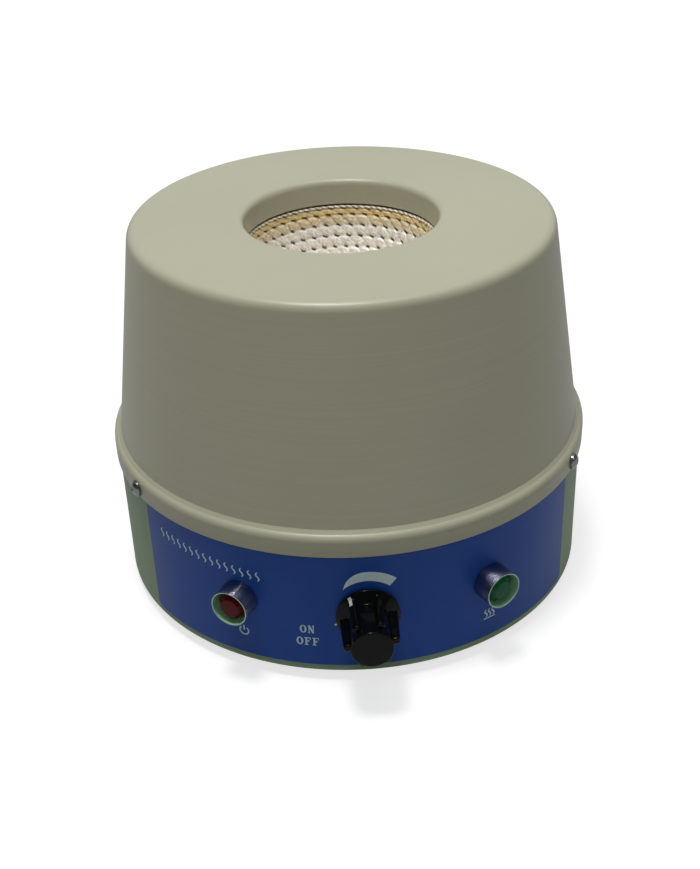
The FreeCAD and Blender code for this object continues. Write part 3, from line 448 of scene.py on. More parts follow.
FINISHES = {
    Slot.SHELL: StovedPaint("shell_stoved", (0.450, 0.445, 0.328), 0.36, 0.85),
    # greenish grey: grey paint tinted green as a painted reflection of green surroundings
    Slot.PAN: StovedPaint("pan_paint_with_green_reflection", (0.27, 0.385, 0.235), 0.55, 0.08),
    Slot.FILM: PrintedFilm("film_blue", (0.014, 0.078, 0.380)),
    Slot.BLACK: Moulding("knob_black", (0.0022, 0.0025, 0.0025), 0.13, 0.004, 0.15),
    Slot.DARK: Moulding("inlet_black", (0.014, 0.014, 0.015), 0.42, 0.02),
    Slot.PLATED: Metal("bright_plate", (0.78, 0.79, 0.80), 0.10, (300.0, 2400.0, 300.0), 0.001),
    Slot.ZINC: Metal("zinc_plate", (0.62, 0.63, 0.62), 0.28, (800.0, 800.0, 800.0), 0.004),
    Slot.RED: LensMoulding("lens_red", (0.14, 0.003, 0.005), (0.21, 0.007, 0.009)),
    Slot.GREEN: LensMoulding("lens_green", (0.015, 0.15, 0.07), (0.035, 0.22, 0.11)),
    Slot.RUBBER: Moulding("foot_rubber", (0.018, 0.018, 0.019), 0.7, 0.05),
    Slot.YARN: Fibre("sleeve_yarn", (0.70, 0.64, 0.52), 900.0),
    Slot.WOOL: Fibre("packed_wool", (0.55, 0.50, 0.38)),
    Slot.ALUMINIUM: Metal("rolled_aluminium", (0.72, 0.73, 0.74), 0.34, (30.0, 1500.0, 1500.0)),
    Slot.LAMINATE: Moulding("board_green", (0.03, 0.12, 0.05), 0.35, 0.01),
    Slot.CERAMIC: Moulding("ceramic_white", (0.72, 0.70, 0.64), 0.35, 0.02),
    Slot.BRASS: Metal("turned_brass", (0.72, 0.50, 0.20), 0.25),
}
INDEX_INK = Ink("index_white", (0.52, 0.52, 0.51))
PANEL_INK = Ink("panel_pale_blue", (0.62, 0.80, 0.88))
WEDGE_INK = Ink("panel_grey_blue", (0.74, 0.94, 1.0))
# darker copy of the plated steel for the screw heads: painted dark reflection of the dim room in place of
# the bright plate
SCREW_PLATE_DARKENED = Metal("screw_plate_darkened", (0.26, 0.27, 0.27), 0.22, (800.0, 800.0, 800.0), 0.004)


class Workshop:
    """Makes each finish once and hands pieces over to the frame."""

    def __init__(self) -> None:
        """Build every finish that the record names."""
        self.finishes = {slot.value: finish.material() for slot, finish in FINISHES.items()}

    def dress_nodes(self) -> None:
        """Give every CAD node the finish of its own slot."""
        for node in frame["nodes"].values():
            for place in node.material_slots:
                place.material = self.finishes[place.material.name.split(".")[0]]

    def add(self, name: str, mesh: BMesh, body: str, slot: Slot,
            material: Material | None = None, replaced: Sequence[str] = (),
            smooth_below: float = 35.0) -> bpy.types.Object:
        """Turn a mesh into a piece of the object.

        Args:
            name: the piece's name.
            mesh: the finished mesh, in millimetres; it is freed.
            body: the CAD body that carries it.
            slot: the record's material slot.
            material: a finish of its own, or None for the slot's.
            replaced: CAD nodes that it stands for.
            smooth_below: edges that turn less than this angle are shaded smooth.

        Returns:
            The new object.
        """
        mesh.transform(Matrix.Scale(MM, 4))
        piece = poured(name, mesh)
        data = piece.data
        data.shade_smooth()
        data.set_sharp_from_angle(angle=radians(smooth_below))
        data.materials.append(material or self.finishes[slot.value])
        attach(piece, body)
        if replaced:
            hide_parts(*replaced)
        log.info("%s: %d faces on %s", name, len(data.polygons), body)
        return piece


# ---- ways to shape a mesh
def arc(middle: Pair, radius: float, start: float, end: float, steps: int) -> list[Pair]:
    """Points on an arc, from one angle to another in degrees, both ends included."""
    turns = [radians(start + (end - start) * step / steps) for step in range(steps + 1)]
    return [(middle[0] + radius * cos(turn), middle[1] + radius * sin(turn))
            for turn in turns]


def lathe(profile: Sequence[Pair], steps: int) -> BMesh:
    """Spin a closed (radius, height) profile about Z; ends on the axis close at a pole.

    Args:
        profile: corners of the half section, in order.
        steps: faces around.

    Returns:
        A closed mesh with its faces outward.
    """
    mesh = bmesh.new()
    corners = [mesh.verts.new((radius, 0.0, height)) for radius, height in profile]
    closed = profile[0][0] > 0
    ends = corners[1:] + corners[:1] if closed else corners[1:]
    edges = [mesh.edges.new(pair) for pair in zip(corners, ends)]
    bmesh.ops.spin(mesh, geom=corners + edges, cent=(0, 0, 0), axis=(0, 0, 1),
                   angle=FULL_TURN, steps=steps, use_merge=True)
    bmesh.ops.remove_doubles(mesh, verts=mesh.verts, dist=1e-5)
    bmesh.ops.recalc_face_normals(mesh, faces=mesh.faces)
    return mesh


def rounded(profile: Sequence[tuple[float, ...]], steps: int = ROUND_STEPS) -> list[Pair]:
    """Round the corners of a profile.

    Args:
        profile: corners (x, y) or (x, y, radius).
        steps: pieces in each rounded corner.

    Returns:
        The points of the rounded outline.
    """
    points: list[Pair] = []
    count = len(profile)
    for index, corner in enumerate(profile):
        spot = Vector(corner[:2])
        if len(corner) < 3:
            points.append(tuple(spot))
            continue
        back = (Vector(profile[index - 1][:2]) - spot).normalized()
        ahead = (Vector(profile[(index + 1) % count][:2]) - spot).normalized()
        half = back.angle(ahead) / 2
        trim = corner[2] / tan(half)
        start, end = spot + back * trim, spot + ahead * trim
        for step in range(steps + 1):
            share = step / steps
            bend = start.lerp(spot, share).lerp(spot.lerp(end, share), share)
            points.append(tuple(bend))
    return points


def outward(mesh: BMesh, radius: float, height: float, azimuth: float) -> None:
    """Move a mesh whose Z points out of the wall to its place on the wall, in degrees."""
    stand = Matrix.Translation((0.0, -radius, height)) @ Matrix.Rotation(pi / 2, 4, "X")
    mesh.transform(Matrix.Rotation(radians(azimuth), 4, "Z") @ stand)


def joined(meshes: Iterable[BMesh]) -> BMesh:
    """One mesh from several, which are freed."""
    whole = bmesh.new()
    for mesh in meshes:
        data = bpy.data.meshes.new("part")
        mesh.to_mesh(data)
        mesh.free()
        whole.from_mesh(data)
        bpy.data.meshes.remove(data)
    return whole


def linked(name: str, data: Any) -> bpy.types.Object:
    """Object in the scene that shows a data block."""
    made = bpy.data.objects.new(name, data)
    bpy.context.scene.collection.objects.link(made)
    return made


def poured(name: str, mesh: BMesh) -> bpy.types.Object:
    """Object in the scene from a mesh, which is freed."""
    data = bpy.data.meshes.new(name)
    mesh.to_mesh(data)
    mesh.free()
    return linked(name, data)


def carved(blank: BMesh, tool: BMesh) -> BMesh:
    """Blank less a tool; both are freed."""
    kept, cut = poured("carving", blank), poured("carving", tool)
    cutter = kept.modifiers.new("carve", "BOOLEAN")
    cutter.operation, cutter.solver, cutter.object = "DIFFERENCE", "EXACT", cut
    shape = kept.evaluated_get(bpy.context.evaluated_depsgraph_get())
    result = bmesh.new()
    result.from_mesh(shape.to_mesh())
    for made in (kept, cut):
        bpy.data.meshes.remove(made.data)
    return result


def line(start: Pair, end: Pair, step: float = 1.0) -> list[Pair]:
    """Evenly spaced points from start to end."""
    span = Vector(end) - Vector(start)
    count = max(1, ceil(span.length / step))
    return [tuple(Vector(start) + span * index / count) for index in range(count + 1)]


def ribbon(rungs: Sequence[Sequence[Any]]) -> BMesh:
    """Row of faces from pairs of points across it."""
    mesh = bmesh.new()
    pairs = [[mesh.verts.new(spot) for spot in rung] for rung in rungs]
    for (left, right), (left_on, right_on) in zip(pairs, pairs[1:]):
        mesh.faces.new((left, right, right_on, left_on))
    return mesh


def stroke(points: Sequence[Pair], halves: Sequence[float], close: bool = False) -> BMesh:
    """One pen stroke with mitred sides.

    Args:
        points: centre line, as (along, up).
        halves: half width at each point.
        close: whether the stroke runs back into its start.

    Returns:
        A flat mesh in the XZ plane.
    """
    spots = [Vector(point) for point in points]
    if close:
        spots.append(spots[0])
        halves = [*halves, halves[0]]
    before = [spots[-2] if close else spots[0]] + spots[:-1]
    after = spots[1:] + [spots[1] if close else spots[-1]]
    rungs = []
    for spot, last, coming, half in zip(spots, before, after, halves):
        heading = (coming - last).normalized()
        across = Vector((-heading.y, heading.x)) * half
        rungs.append([(side.x, 0.0, side.y) for side in (spot - across, spot + across)])
    mesh = ribbon(rungs)
    if close:
        bmesh.ops.remove_doubles(mesh, verts=mesh.verts, dist=1e-4)
    return mesh


def rule(start: Pair, end: Pair, half: float) -> BMesh:
    """Straight stroke."""
    points = line(start, end)
    return stroke(points, [half] * len(points))


# ---- woven heating bowl
@dataclass
class WovenBowl:
    """Bowl of glass yarn: rings of thick cord, each tied to the next by its stitches."""

    crest_rad: float = 44.0
    outer_rad: float = 47.5
    row_deep: float = 1.9
    row_count: int = 13
    row_spread: float = 1.03
    rim_angle: float = 2.6
    rim_stitches: int = 92
    slant: float = 0.8
    stitches: tuple[int, ...] = (46,) * 7 + (23,) * 4 + (12,) * 2
    pit_half: float = 0.15
    rim_gap: float = 0.15
    rim_low: float = 0.15
    tug: float = 0.07
    crest: float = 0.94
    edge_sink: float = 0.20
    lump_sink: float = 0.42
    wobbles: tuple[Triple, ...] = ((0.05, 7.0, 2.3), (0.04, 19.0, 1.0))
    samples: int = 9
    steps: int = 552
    bounds: list[float] = field(default_factory=list)

    def __post_init__(self) -> None:
        """Work out where each row starts, in degrees below the rim; the rim cord comes first."""
        shares = (row / self.row_count for row in range(1, self.row_count + 1))
        self.bounds = [0.0, self.rim_angle] + [90.0 * share ** self.row_spread for share in shares]

    def middle(self) -> float:
        """Height of the centre of the bowl, at its rim."""
        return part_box("heating_bowl")[1].z / MM

    def profile(self) -> list[Pair]:
        """Half section of the blank, from the rim down the inside and back up the outside."""
        inner: list[Pair] = []
        for low, high in zip(self.bounds, self.bounds[1:]):
            for step in range(self.samples):
                turn = radians(low + (high - low) * step / self.samples)
                inner.append((self.crest_rad * cos(turn), -self.crest_rad * sin(turn)))
        inner.append((0.0, -self.crest_rad))
        outer = arc((0.0, 0.0), self.outer_rad, 270.0, 360.0, 18)
        outer[0] = (0.0, -self.outer_rad)
        return inner + outer

    def stitch(self, azimuth: float, angle: float) -> tuple[float, float, float]:
        """Form of the yarn at one spot.

        Args:
            azimuth: turn about the axis, in radians.
            angle: degrees below the rim.

        Returns:
            Height above the pits from 0 to 1, the row's number with the share of the row that
            is already passed, and the place along the stitches.
        """
        row = max(index for index, low in enumerate(self.bounds[:-1]) if angle >= low - 1e-6)
        low, high = self.bounds[row], self.bounds[row + 1]
        share = min(max((angle - low) / (high - low), 0.0), 1.0)
        if row == 0:
            place = azimuth / FULL_TURN * self.rim_stitches + share
            lump = sin(pi * (place % 1.0)) ** 0.5
            across = min(1.0, 4.0 * max(share - self.rim_gap, 0.0), 5.0 * (1.0 - share))
            return (self.rim_low + (1.0 - self.rim_low) * lump) * across, share, place
        place = azimuth / FULL_TURN * self.stitches[row - 1] + self.slant * (row - 1 + share)
        tug = self.tug * sin(12.9 * (place // 1.0) + 4.1 * row)
        part = (place + tug * sin(pi * (place % 1.0))) % 1.0
        edge = abs(2 * share - 1) ** 4
        lump = sin(pi * part) ** 0.6
        wide = self.pit_half * (1.3 if 1 <= row + share < 2.4 else 1.0) * (1.0 + 2 * tug)
        pit = edge * exp(-(min(part, 1.0 - part) / wide) ** 2)
        sunk = pit + self.lump_sink * (1.0 - lump) ** 1.5 + self.edge_sink * edge
        wobble = sum(size * sin(waves * azimuth + shift * row)
                     for size, waves, shift in self.wobbles)
        return min(max(self.crest - sunk + wobble * (1.0 - edge), 0.0), 1.0), row + share, place

    def build(self, shop: Workshop) -> None:
        """Spin the blank, press the stitches into its inner wall and dress it."""
        mesh = lathe(self.profile(), self.steps)
        yarn = mesh.verts.layers.float_vector.new("yarn")
        rows = mesh.verts.layers.float.new("row")
        rise = mesh.verts.layers.float.new("rise")
        limit = (self.crest_rad + self.outer_rad) / 2
        for vert in mesh.verts:
            flat = hypot(vert.co.x, vert.co.y)
            if hypot(flat, vert.co.z) > limit:
                continue
            azimuth = atan2(vert.co.y, vert.co.x) % FULL_TURN
            angle = degrees(atan2(-vert.co.z, flat))
            height, row, place = self.stitch(azimuth, angle)
            vert.co *= (self.crest_rad + self.row_deep * (1.0 - height)) / self.crest_rad
            vert[yarn] = (place, row, 0.0)
            vert[rows] = row
            vert[rise] = height
        mesh.transform(Matrix.Translation((0.0, 0.0, self.middle())))
        shop.add("woven_bowl", mesh, "housing", Slot.YARN, GlassYarn("bowl_yarn").material(),
                 ["heating_bowl"], 180.0)


# ---- control knob
@dataclass
class ControlKnob:
    """Gloss knob: sloping skirt, round grip with tapered lobes and a white index line."""

    gap: float = 1.0
    skirt_rad: float = 14.3
    skirt_edge: float = 0.8
    round_rad: float = 0.6
    grip_foot: float = 4.7
    grip_rad: float = 9.2
    grip_end: float = 24.2
    lobe_foot_rad: float = 12.9
    lobe_rad: float = 12.2
    lobe_end: float = 21.0
    lobe_half: float = 1.7
    lobe_round: float = 1.2
    lobe_top: float = 0.7
    lobe_count: int = 6
    lobe_angle: float = 6.6
    fillet: float = 0.6
    hollow_rad: float = 8.0
    hollow_end: float = 5.2
    bore_rad: float = 3.05
    bore_end: float = 19.05
    index_lobe: int = 2
    index_half: float = 0.8
    index_end: float = 6.6
    index_shares: tuple[float, ...] = (0.08, 0.14, 0.20)
    index_root: float = 0.30
    index_lift: float = 0.05
    steps: int = 480

    def profile(self) -> list[Pair]:
        """Half section of the moulding without its lobes, with rows where the lobes need them."""
        edge = self.gap + self.skirt_edge
        skirt = rounded([(self.hollow_rad, self.gap), (self.skirt_rad, self.gap, 0.2),
                         (self.skirt_rad, edge, self.round_rad),
                         (self.grip_rad, self.grip_foot, self.round_rad),
                         (self.grip_rad, self.lobe_end)])[:-1]
        split = len(skirt) - ROUND_STEPS - 1
        slope = line(skirt[split - 1], skirt[split], 0.5)[1:-1]
        skirt[split:split] = slope
        top = [(self.grip_rad, self.lobe_end - self.lobe_top + self.lobe_top * sin(turn))
               for turn in (radians(18 * step) for step in range(6))]
        side = line(skirt[-1], top[0], 2.0)[1:-1]
        face = rounded([(self.grip_rad, self.lobe_end + 0.02),
                        (self.grip_rad, self.grip_end, self.round_rad),
                        (self.grip_rad / 2, self.grip_end), (0.0, self.grip_end)], 6)
        return ([(0.0, self.bore_end), (self.bore_rad, self.bore_end),
                 (self.bore_rad, self.hollow_end), (self.hollow_rad, self.hollow_end)]
                + skirt + side + top + face)

    def lobe_reach(self, azimuth: float, height: float) -> float:
        """Distance from the axis to the outline of the nearest lobe.

        Args:
            azimuth: turn about the knob's axis, in radians.
            height: place along the axis.

        Returns:
            The distance; it falls to the lobe's flank where the azimuth is between two lobes.
        """
        pitch = FULL_TURN / self.lobe_count
        turn = abs((azimuth - radians(self.lobe_angle) + pitch / 2) % pitch - pitch / 2)
        foot = self.gap + self.skirt_edge
        taper = (self.lobe_rad - self.lobe_foot_rad) * (height - foot) / (self.lobe_end - foot)
        over = min(max(height - (self.lobe_end - self.lobe_top), 0.0), self.lobe_top)
        shrink = self.lobe_top - sqrt(self.lobe_top ** 2 - over ** 2)
        reach = self.lobe_foot_rad + taper - shrink
        corner = self.lobe_round - shrink
        flat = self.lobe_half - self.lobe_round
        if reach * tan(turn) <= flat:
            return reach / cos(turn)
        middle, ray = Vector((reach - corner, flat)), Vector((cos(turn), sin(turn)))
        along = middle.dot(ray)
        inside = along ** 2 - middle.length_squared + corner ** 2
        if inside >= 0.0 and (along + sqrt(inside)) * ray.x >= middle.x:
            return along + sqrt(inside)
        return (self.lobe_half - shrink) / ray.y

    def raised(self, body: float, lobe: float) -> float:
        """The larger of two distances, with a small fillet where they meet."""
        share = min(max(0.5 + 0.5 * (lobe - body) / self.fillet, 0.0), 1.0)
        return body + (lobe - body) * share + self.fillet * share * (1.0 - share)

    def build(self, shop: Workshop) -> None:
        """Make the knob and its index line."""
        mesh = lathe(self.profile(), self.steps)
        for vert in mesh.verts:
            flat = hypot(vert.co.x, vert.co.y)
            if flat > self.grip_rad - 0.01 and vert.co.z < self.lobe_end + 0.01:
                reach = self.lobe_reach(atan2(vert.co.y, vert.co.x), vert.co.z)
                vert.co.xy = vert.co.xy * (self.raised(flat, reach) / flat)
        y, z = (part / MM for part in frame["joints"][0]["pos_m"][1:])
        outward(mesh, -y, z, 0.0)
        shop.add("knob_moulding", mesh, "dial", Slot.BLACK, replaced=["control_knob"],
                 smooth_below=50.0)
        self._index_line(shop, -y, z)

    def _index_line(self, shop: Workshop, radius: float, height: float) -> None:
        """Lay the painted line over the skirt's slope and a short way along a lobe's ridge."""
        angle = radians(self.lobe_angle + 360.0 / self.lobe_count * self.index_lobe)
        rim = Vector((self.skirt_rad, 0.0, self.gap + self.skirt_edge))
        foot = Vector((self.grip_rad, 0.0, self.grip_foot))
        out, up = Vector((self.index_lift, 0.0, 0.0)), Vector((0.0, 0.0, self.index_lift))
        path = [rim.lerp(foot, share) + out + up for share in self.index_shares]
        root = rim.z + (foot.z - rim.z) * self.index_root
        for step in range(6):
            level = root + (self.index_end - root) * step / 5
            path.append(Vector((self.lobe_reach(angle, level), 0.0, level)) + out)
        path[len(self.index_shares)] += up
        across = Vector((0.0, self.index_half, 0.0))
        bar = ribbon([(spot - across, spot + across) for spot in path])
        bmesh.ops.recalc_face_normals(bar, faces=bar.faces)
        bmesh.ops.solidify(bar, geom=bar.faces[:], thickness=-self.index_lift)
        bmesh.ops.recalc_face_normals(bar, faces=bar.faces)
        bar.transform(Matrix.Rotation(angle, 4, "Z"))
        outward(bar, radius, height, 0.0)
        shop.add("knob_index_line", bar, "dial", Slot.BLACK, INDEX_INK.material())


# ---- printing on the film
@dataclass
class ControlPanel:
    """Printing round the knob and the lamps on the blue film."""

    on_azimuth: float = -13.7
    on_height: float = 29.2
    off_height: float = 22.3
    letter_high: float = 4.3
    letter_wide: float = 3.1
    letter_gap: float = 0.5
    pen_thick: float = 0.42
    pen_thin: float = 0.2
    serif: float = 0.85
    n_stem: float = 0.6
    f_stem: float = 0.9
    tick_angle: float = 201.0
    tick_reach: Pair = (14.6, 15.9)
    tick_half: float = 0.45
    wedge_rad: float = 15.0
    wedge_lift: float = 3.0
    wedge_angles: Pair = (134.5, 49.5)
    wedge_wide: float = 4.8
    wedge_steps: int = 36
    band_azimuths: Pair = (-52.0, -24.5)
    band_heights: Pair = (58.0, 54.2)
    band_strokes: int = 15
    band_stroke: Pair = (4.6, 0.42)
    power_azimuth: float = -29.0
    heat_azimuth: float = 29.5
    sign_height: float = 22.0
    sign_half: float = 0.36
    sign_reach: float = 2.2
    sign_stroke: Pair = (4.2, 0.4)
    lift: float = 0.01
    coat: float = 0.04

    def __post_init__(self) -> None:
        """Read the film's radius and the knob's place from the frame."""
        self.radius = -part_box("control_panel")[0].y / MM
        self.knob_height = frame["joints"][0]["pos_m"][2] / MM

    def along(self, azimuth: float) -> float:
        """Length round the film to an azimuth in degrees."""
        return self.radius * radians(azimuth)

    def round_knob(self, reach: float, angle: float, lift: float = 0.0) -> Pair:
        """Spot on the film at a distance from the knob's axis and an angle in degrees."""
        turn = radians(angle)
        return reach * cos(turn), self.knob_height + lift + reach * sin(turn)

    def wrap(self, flat: Iterable[BMesh]) -> BMesh:
        """Bend flat artwork round the film and give it the thickness of a coat of ink."""
        mesh, radius = joined(flat), self.radius + self.lift
        for vert in mesh.verts:
            turn = vert.co.x / radius
            vert.co = (radius * sin(turn), -radius * cos(turn), vert.co.z)
        for face in mesh.faces:
            face.normal_update()
            if face.normal.dot(face.calc_center_median() * Vector((1, 1, 0))) < 0:
                face.normal_flip()
        top = bmesh.ops.extrude_face_region(mesh, geom=mesh.faces[:])["geom"]
        for vert in (item for item in top if isinstance(item, bmesh.types.BMVert)):
            vert.co += Vector((vert.co.x, vert.co.y, 0.0)).normalized() * self.coat
        bmesh.ops.recalc_face_normals(mesh, faces=mesh.faces)
        return mesh

    def wedge(self) -> list[BMesh]:
        """Crescent that widens as the heat goes up."""
        start, end = self.wedge_angles
        points, halves = [], []
        for step in range(self.wedge_steps + 1):
            share = step / self.wedge_steps
            half = self.wedge_wide / 2 * sin(pi / 2 * min(2 * share, 1.0))
            angle = start + (end - start) * share
            points.append(self.round_knob(self.wedge_rad + half, angle, self.wedge_lift))
            halves.append(max(half, 0.05))
        return [stroke(points, halves)]

    def tick(self) -> list[BMesh]:
        """Mark where the switch clicks off."""
        ends = [self.round_knob(reach, self.tick_angle) for reach in self.tick_reach]
        return [rule(*ends, self.tick_half)]

    def letter(self, which: str, left: float, foot: float) -> list[BMesh]:
        """One bracketed capital for the switch positions.

        Args:
            which: O, N or F.
            left: place of its left side.
            foot: height of its foot.

        Returns:
            Its strokes.
        """
        wide, high = self.letter_wide, self.letter_high
        thick, thin, serif, cap = self.pen_thick, self.pen_thin, self.serif, high - self.pen_thin
        if which == "O":
            points, halves = [], []
            for step in range(24):
                turn = FULL_TURN * step / 24
                points.append((left + wide / 2 + (wide / 2 - thick) * cos(turn),
                               foot + high / 2 + (high / 2 - thin) * sin(turn)))
                halves.append(thin + (thick - thin) * abs(cos(turn)))
            return [stroke(points, halves, True)]
        if which == "N":
            stem, right = self.n_stem, wide - self.n_stem
            rows = ((stem, 0.0, stem, high, thin), (right, 0.0, right, high, thin),
                    (stem, high, right, 0.0, thick),
                    (stem - serif / 2, thin, stem + serif / 2, thin, thin),
                    (stem - serif / 2, cap, self.f_stem, cap, thin),
                    (right - serif / 2, cap, right + serif / 2, cap, thin))
        else:
            stem = self.f_stem
            rows = ((stem, 0.0, stem, high, thick), (stem - serif, thin, stem + serif, thin, thin),
                    (stem - serif, cap, wide - 0.2, cap, thin),
                    (wide - 0.35, high - 1.2, wide - 0.35, high, thin),
                    (stem, high * 0.52, wide - 1.0, high * 0.52, thin),
                    (wide - 1.1, high * 0.40, wide - 1.1, high * 0.64, thin))
        return [rule((left + x, foot + y), (left + x_end, foot + y_end), half)
                for x, y, x_end, y_end, half in rows]

    def word(self, text: str, height: float) -> list[BMesh]:
        """A switch position set about the same centre line."""
        pitch = self.letter_wide + self.letter_gap
        left = self.along(self.on_azimuth) - (pitch * len(text) - self.letter_gap) / 2
        strokes = []
        for index, which in enumerate(text):
            strokes += self.letter(which, left + pitch * index, height - self.letter_high / 2)
        return strokes

    def heat_stroke(self, along: float, middle: float, high: float,
                    half: float) -> BMesh:
        """One rising wavy stroke."""
        points, halves = [], []
        for step in range(13):
            share = step / 12
            points.append((along + 0.16 * high * sin(FULL_TURN * share),
                           middle + high * (share - 0.5)))
            halves.append(half * (0.55 + 0.45 * sin(pi * share)))
        return stroke(points, halves)

    def band(self) -> list[BMesh]:
        """Row of heat strokes that runs downhill towards the knob."""
        start, end = (Vector((self.along(azimuth), height))
                      for azimuth, height in zip(self.band_azimuths, self.band_heights))
        spots = [start.lerp(end, index / (self.band_strokes - 1))
                 for index in range(self.band_strokes)]
        return [self.heat_stroke(spot.x, spot.y, *self.band_stroke) for spot in spots]

    def power_sign(self) -> list[BMesh]:
        """Broken ring and bar under the supply lamp."""
        middle, reach = self.along(self.power_azimuth), self.sign_reach
        points = [(middle + reach * sin(turn), self.sign_height + reach * cos(turn))
                  for turn in (radians(38 + 284 * step / 24) for step in range(25))]
        bar = (middle, self.sign_height + 0.2), (middle, self.sign_height + 3.0)
        return [stroke(points, [self.sign_half] * len(points)), rule(*bar, self.sign_half)]

    def heat_sign(self) -> list[BMesh]:
        """Three heat strokes over a bar under the heater lamp."""
        middle = self.along(self.heat_azimuth)
        strokes = [self.heat_stroke(middle + shift, self.sign_height + 0.5, *self.sign_stroke)
                   for shift in (-2.0, 0.0, 2.0)]
        foot = self.sign_height - 2.4
        return strokes + [rule((middle - 3.2, foot), (middle + 3.2, foot), 0.32)]

    def build(self, shop: Workshop) -> None:
        """Print everything on the film."""
        pale, grey = PANEL_INK.material(), WEDGE_INK.material()
        artwork = (("print_heat_wedge", self.wedge(), grey),
                   ("print_off_tick", self.tick(), pale),
                   ("print_on", self.word("ON", self.on_height), pale),
                   ("print_off", self.word("OFF", self.off_height), pale),
                   ("print_band", self.band(), pale),
                   ("print_power_sign", self.power_sign(), pale),
                   ("print_heat_sign", self.heat_sign(), pale))
        for name, strokes, ink in artwork:
            shop.add(name, self.wrap(strokes), "housing", Slot.FILM, ink)


# ---- indicator lamps
@dataclass
class LampBezels:
    """Turned and plated bezels, each with a shallow reflector cup round its lens."""

    azimuth: float = 29.3
    seat: float = 0.05
    outer_rad: float = 8.75
    rim: float = 0.5
    reach: float = 10.0
    edge: float = 0.12
    cup_floor: float = 2.6
    cup_floor_rad: float = 7.0
    cup_curve: float = 20.0
    bore_rad: float = 4.65
    stem_rad: float = 6.0
    stem_long: float = 15.0
    lens_faces: int = 8
    lens_half: float = 6.6
    lens_seat: float = 3.1
    lens_sides: float = 7.2
    lens_top: float = 9.4
    lens_top_half: float = 4.4
    lens_peak: float = 0.25
    lens_in: float = 3.0
    steps: int = 128

    def lens(self) -> BMesh:
        """Faceted lens: round stem, upright faces and a cut crown."""
        stem = self.bore_rad - self.seat
        mesh = lathe([(0.0, -self.lens_in), (stem, -self.lens_in), (stem, self.lens_seat),
                      (self.lens_half, self.lens_seat), (self.lens_half, self.lens_sides),
                      (self.lens_top_half, self.lens_top), (0.0, self.lens_top + self.lens_peak)],
                     self.lens_faces)
        mesh.transform(Matrix.Rotation(pi / self.lens_faces, 4, "Z"))
        return mesh

    def cup(self) -> list[Pair]:
        """Curved wall of the cup, from the rim in to its floor."""
        start = Vector((self.outer_rad - self.rim, self.reach))
        end = Vector((self.cup_floor_rad, self.cup_floor))
        chord = end - start
        drop = sqrt(self.cup_curve ** 2 - chord.length_squared / 4)
        middle = (start + end) / 2 + Vector((chord.y, -chord.x)).normalized() * drop
        spokes = (start - middle, end - middle)
        angles = [degrees(atan2(spoke.y, spoke.x)) for spoke in spokes]
        return arc(tuple(middle), self.cup_curve, angles[0], angles[1], 14)

    def section(self) -> list[Pair]:
        """Half section of a bezel."""
        wall = rounded([(self.stem_rad, self.seat), (self.outer_rad, self.seat, self.edge),
                        (self.outer_rad, self.reach, self.edge),
                        (self.outer_rad - self.rim, self.reach)], 3)
        return ([(self.bore_rad, -self.stem_long), (self.stem_rad, -self.stem_long)] + wall[:-1]
                + self.cup() + [(self.bore_rad, self.cup_floor)])

    def build(self, shop: Workshop) -> None:
        """Turn the bezels and set each with its lens."""
        film = -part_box("control_panel")[0].y / MM
        for name, side, slot in (("red", -1.0, Slot.RED), ("green", 1.0, Slot.GREEN)):
            bezel = f"{name}_lamp_bezel"
            low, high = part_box(bezel)
            mesh, lens = lathe(self.section(), self.steps), self.lens()
            inside = mesh.verts.layers.float.new("cup")
            turned = mesh.verts.layers.float_vector.new("turned")
            for vert in mesh.verts:
                flat = hypot(vert.co.x, vert.co.y)
                vert[turned] = vert.co
                vert[inside] = float(flat < self.outer_rad - 0.8 * self.rim
                                     and vert.co.z > self.cup_floor - 0.01)
            for made in (mesh, lens):
                outward(made, film, (low.z + high.z) / (2 * MM), side * self.azimuth)
            shop.add(f"{name}_lamp_cup", mesh, "housing", Slot.PLATED,
                     PlatedCup(f"{name}_cup_plate").material(), [bezel], 30.0)
            shop.add(f"{name}_lamp_jewel", lens, "housing", slot, None, [f"{name}_lamp_lens"], 5.0)


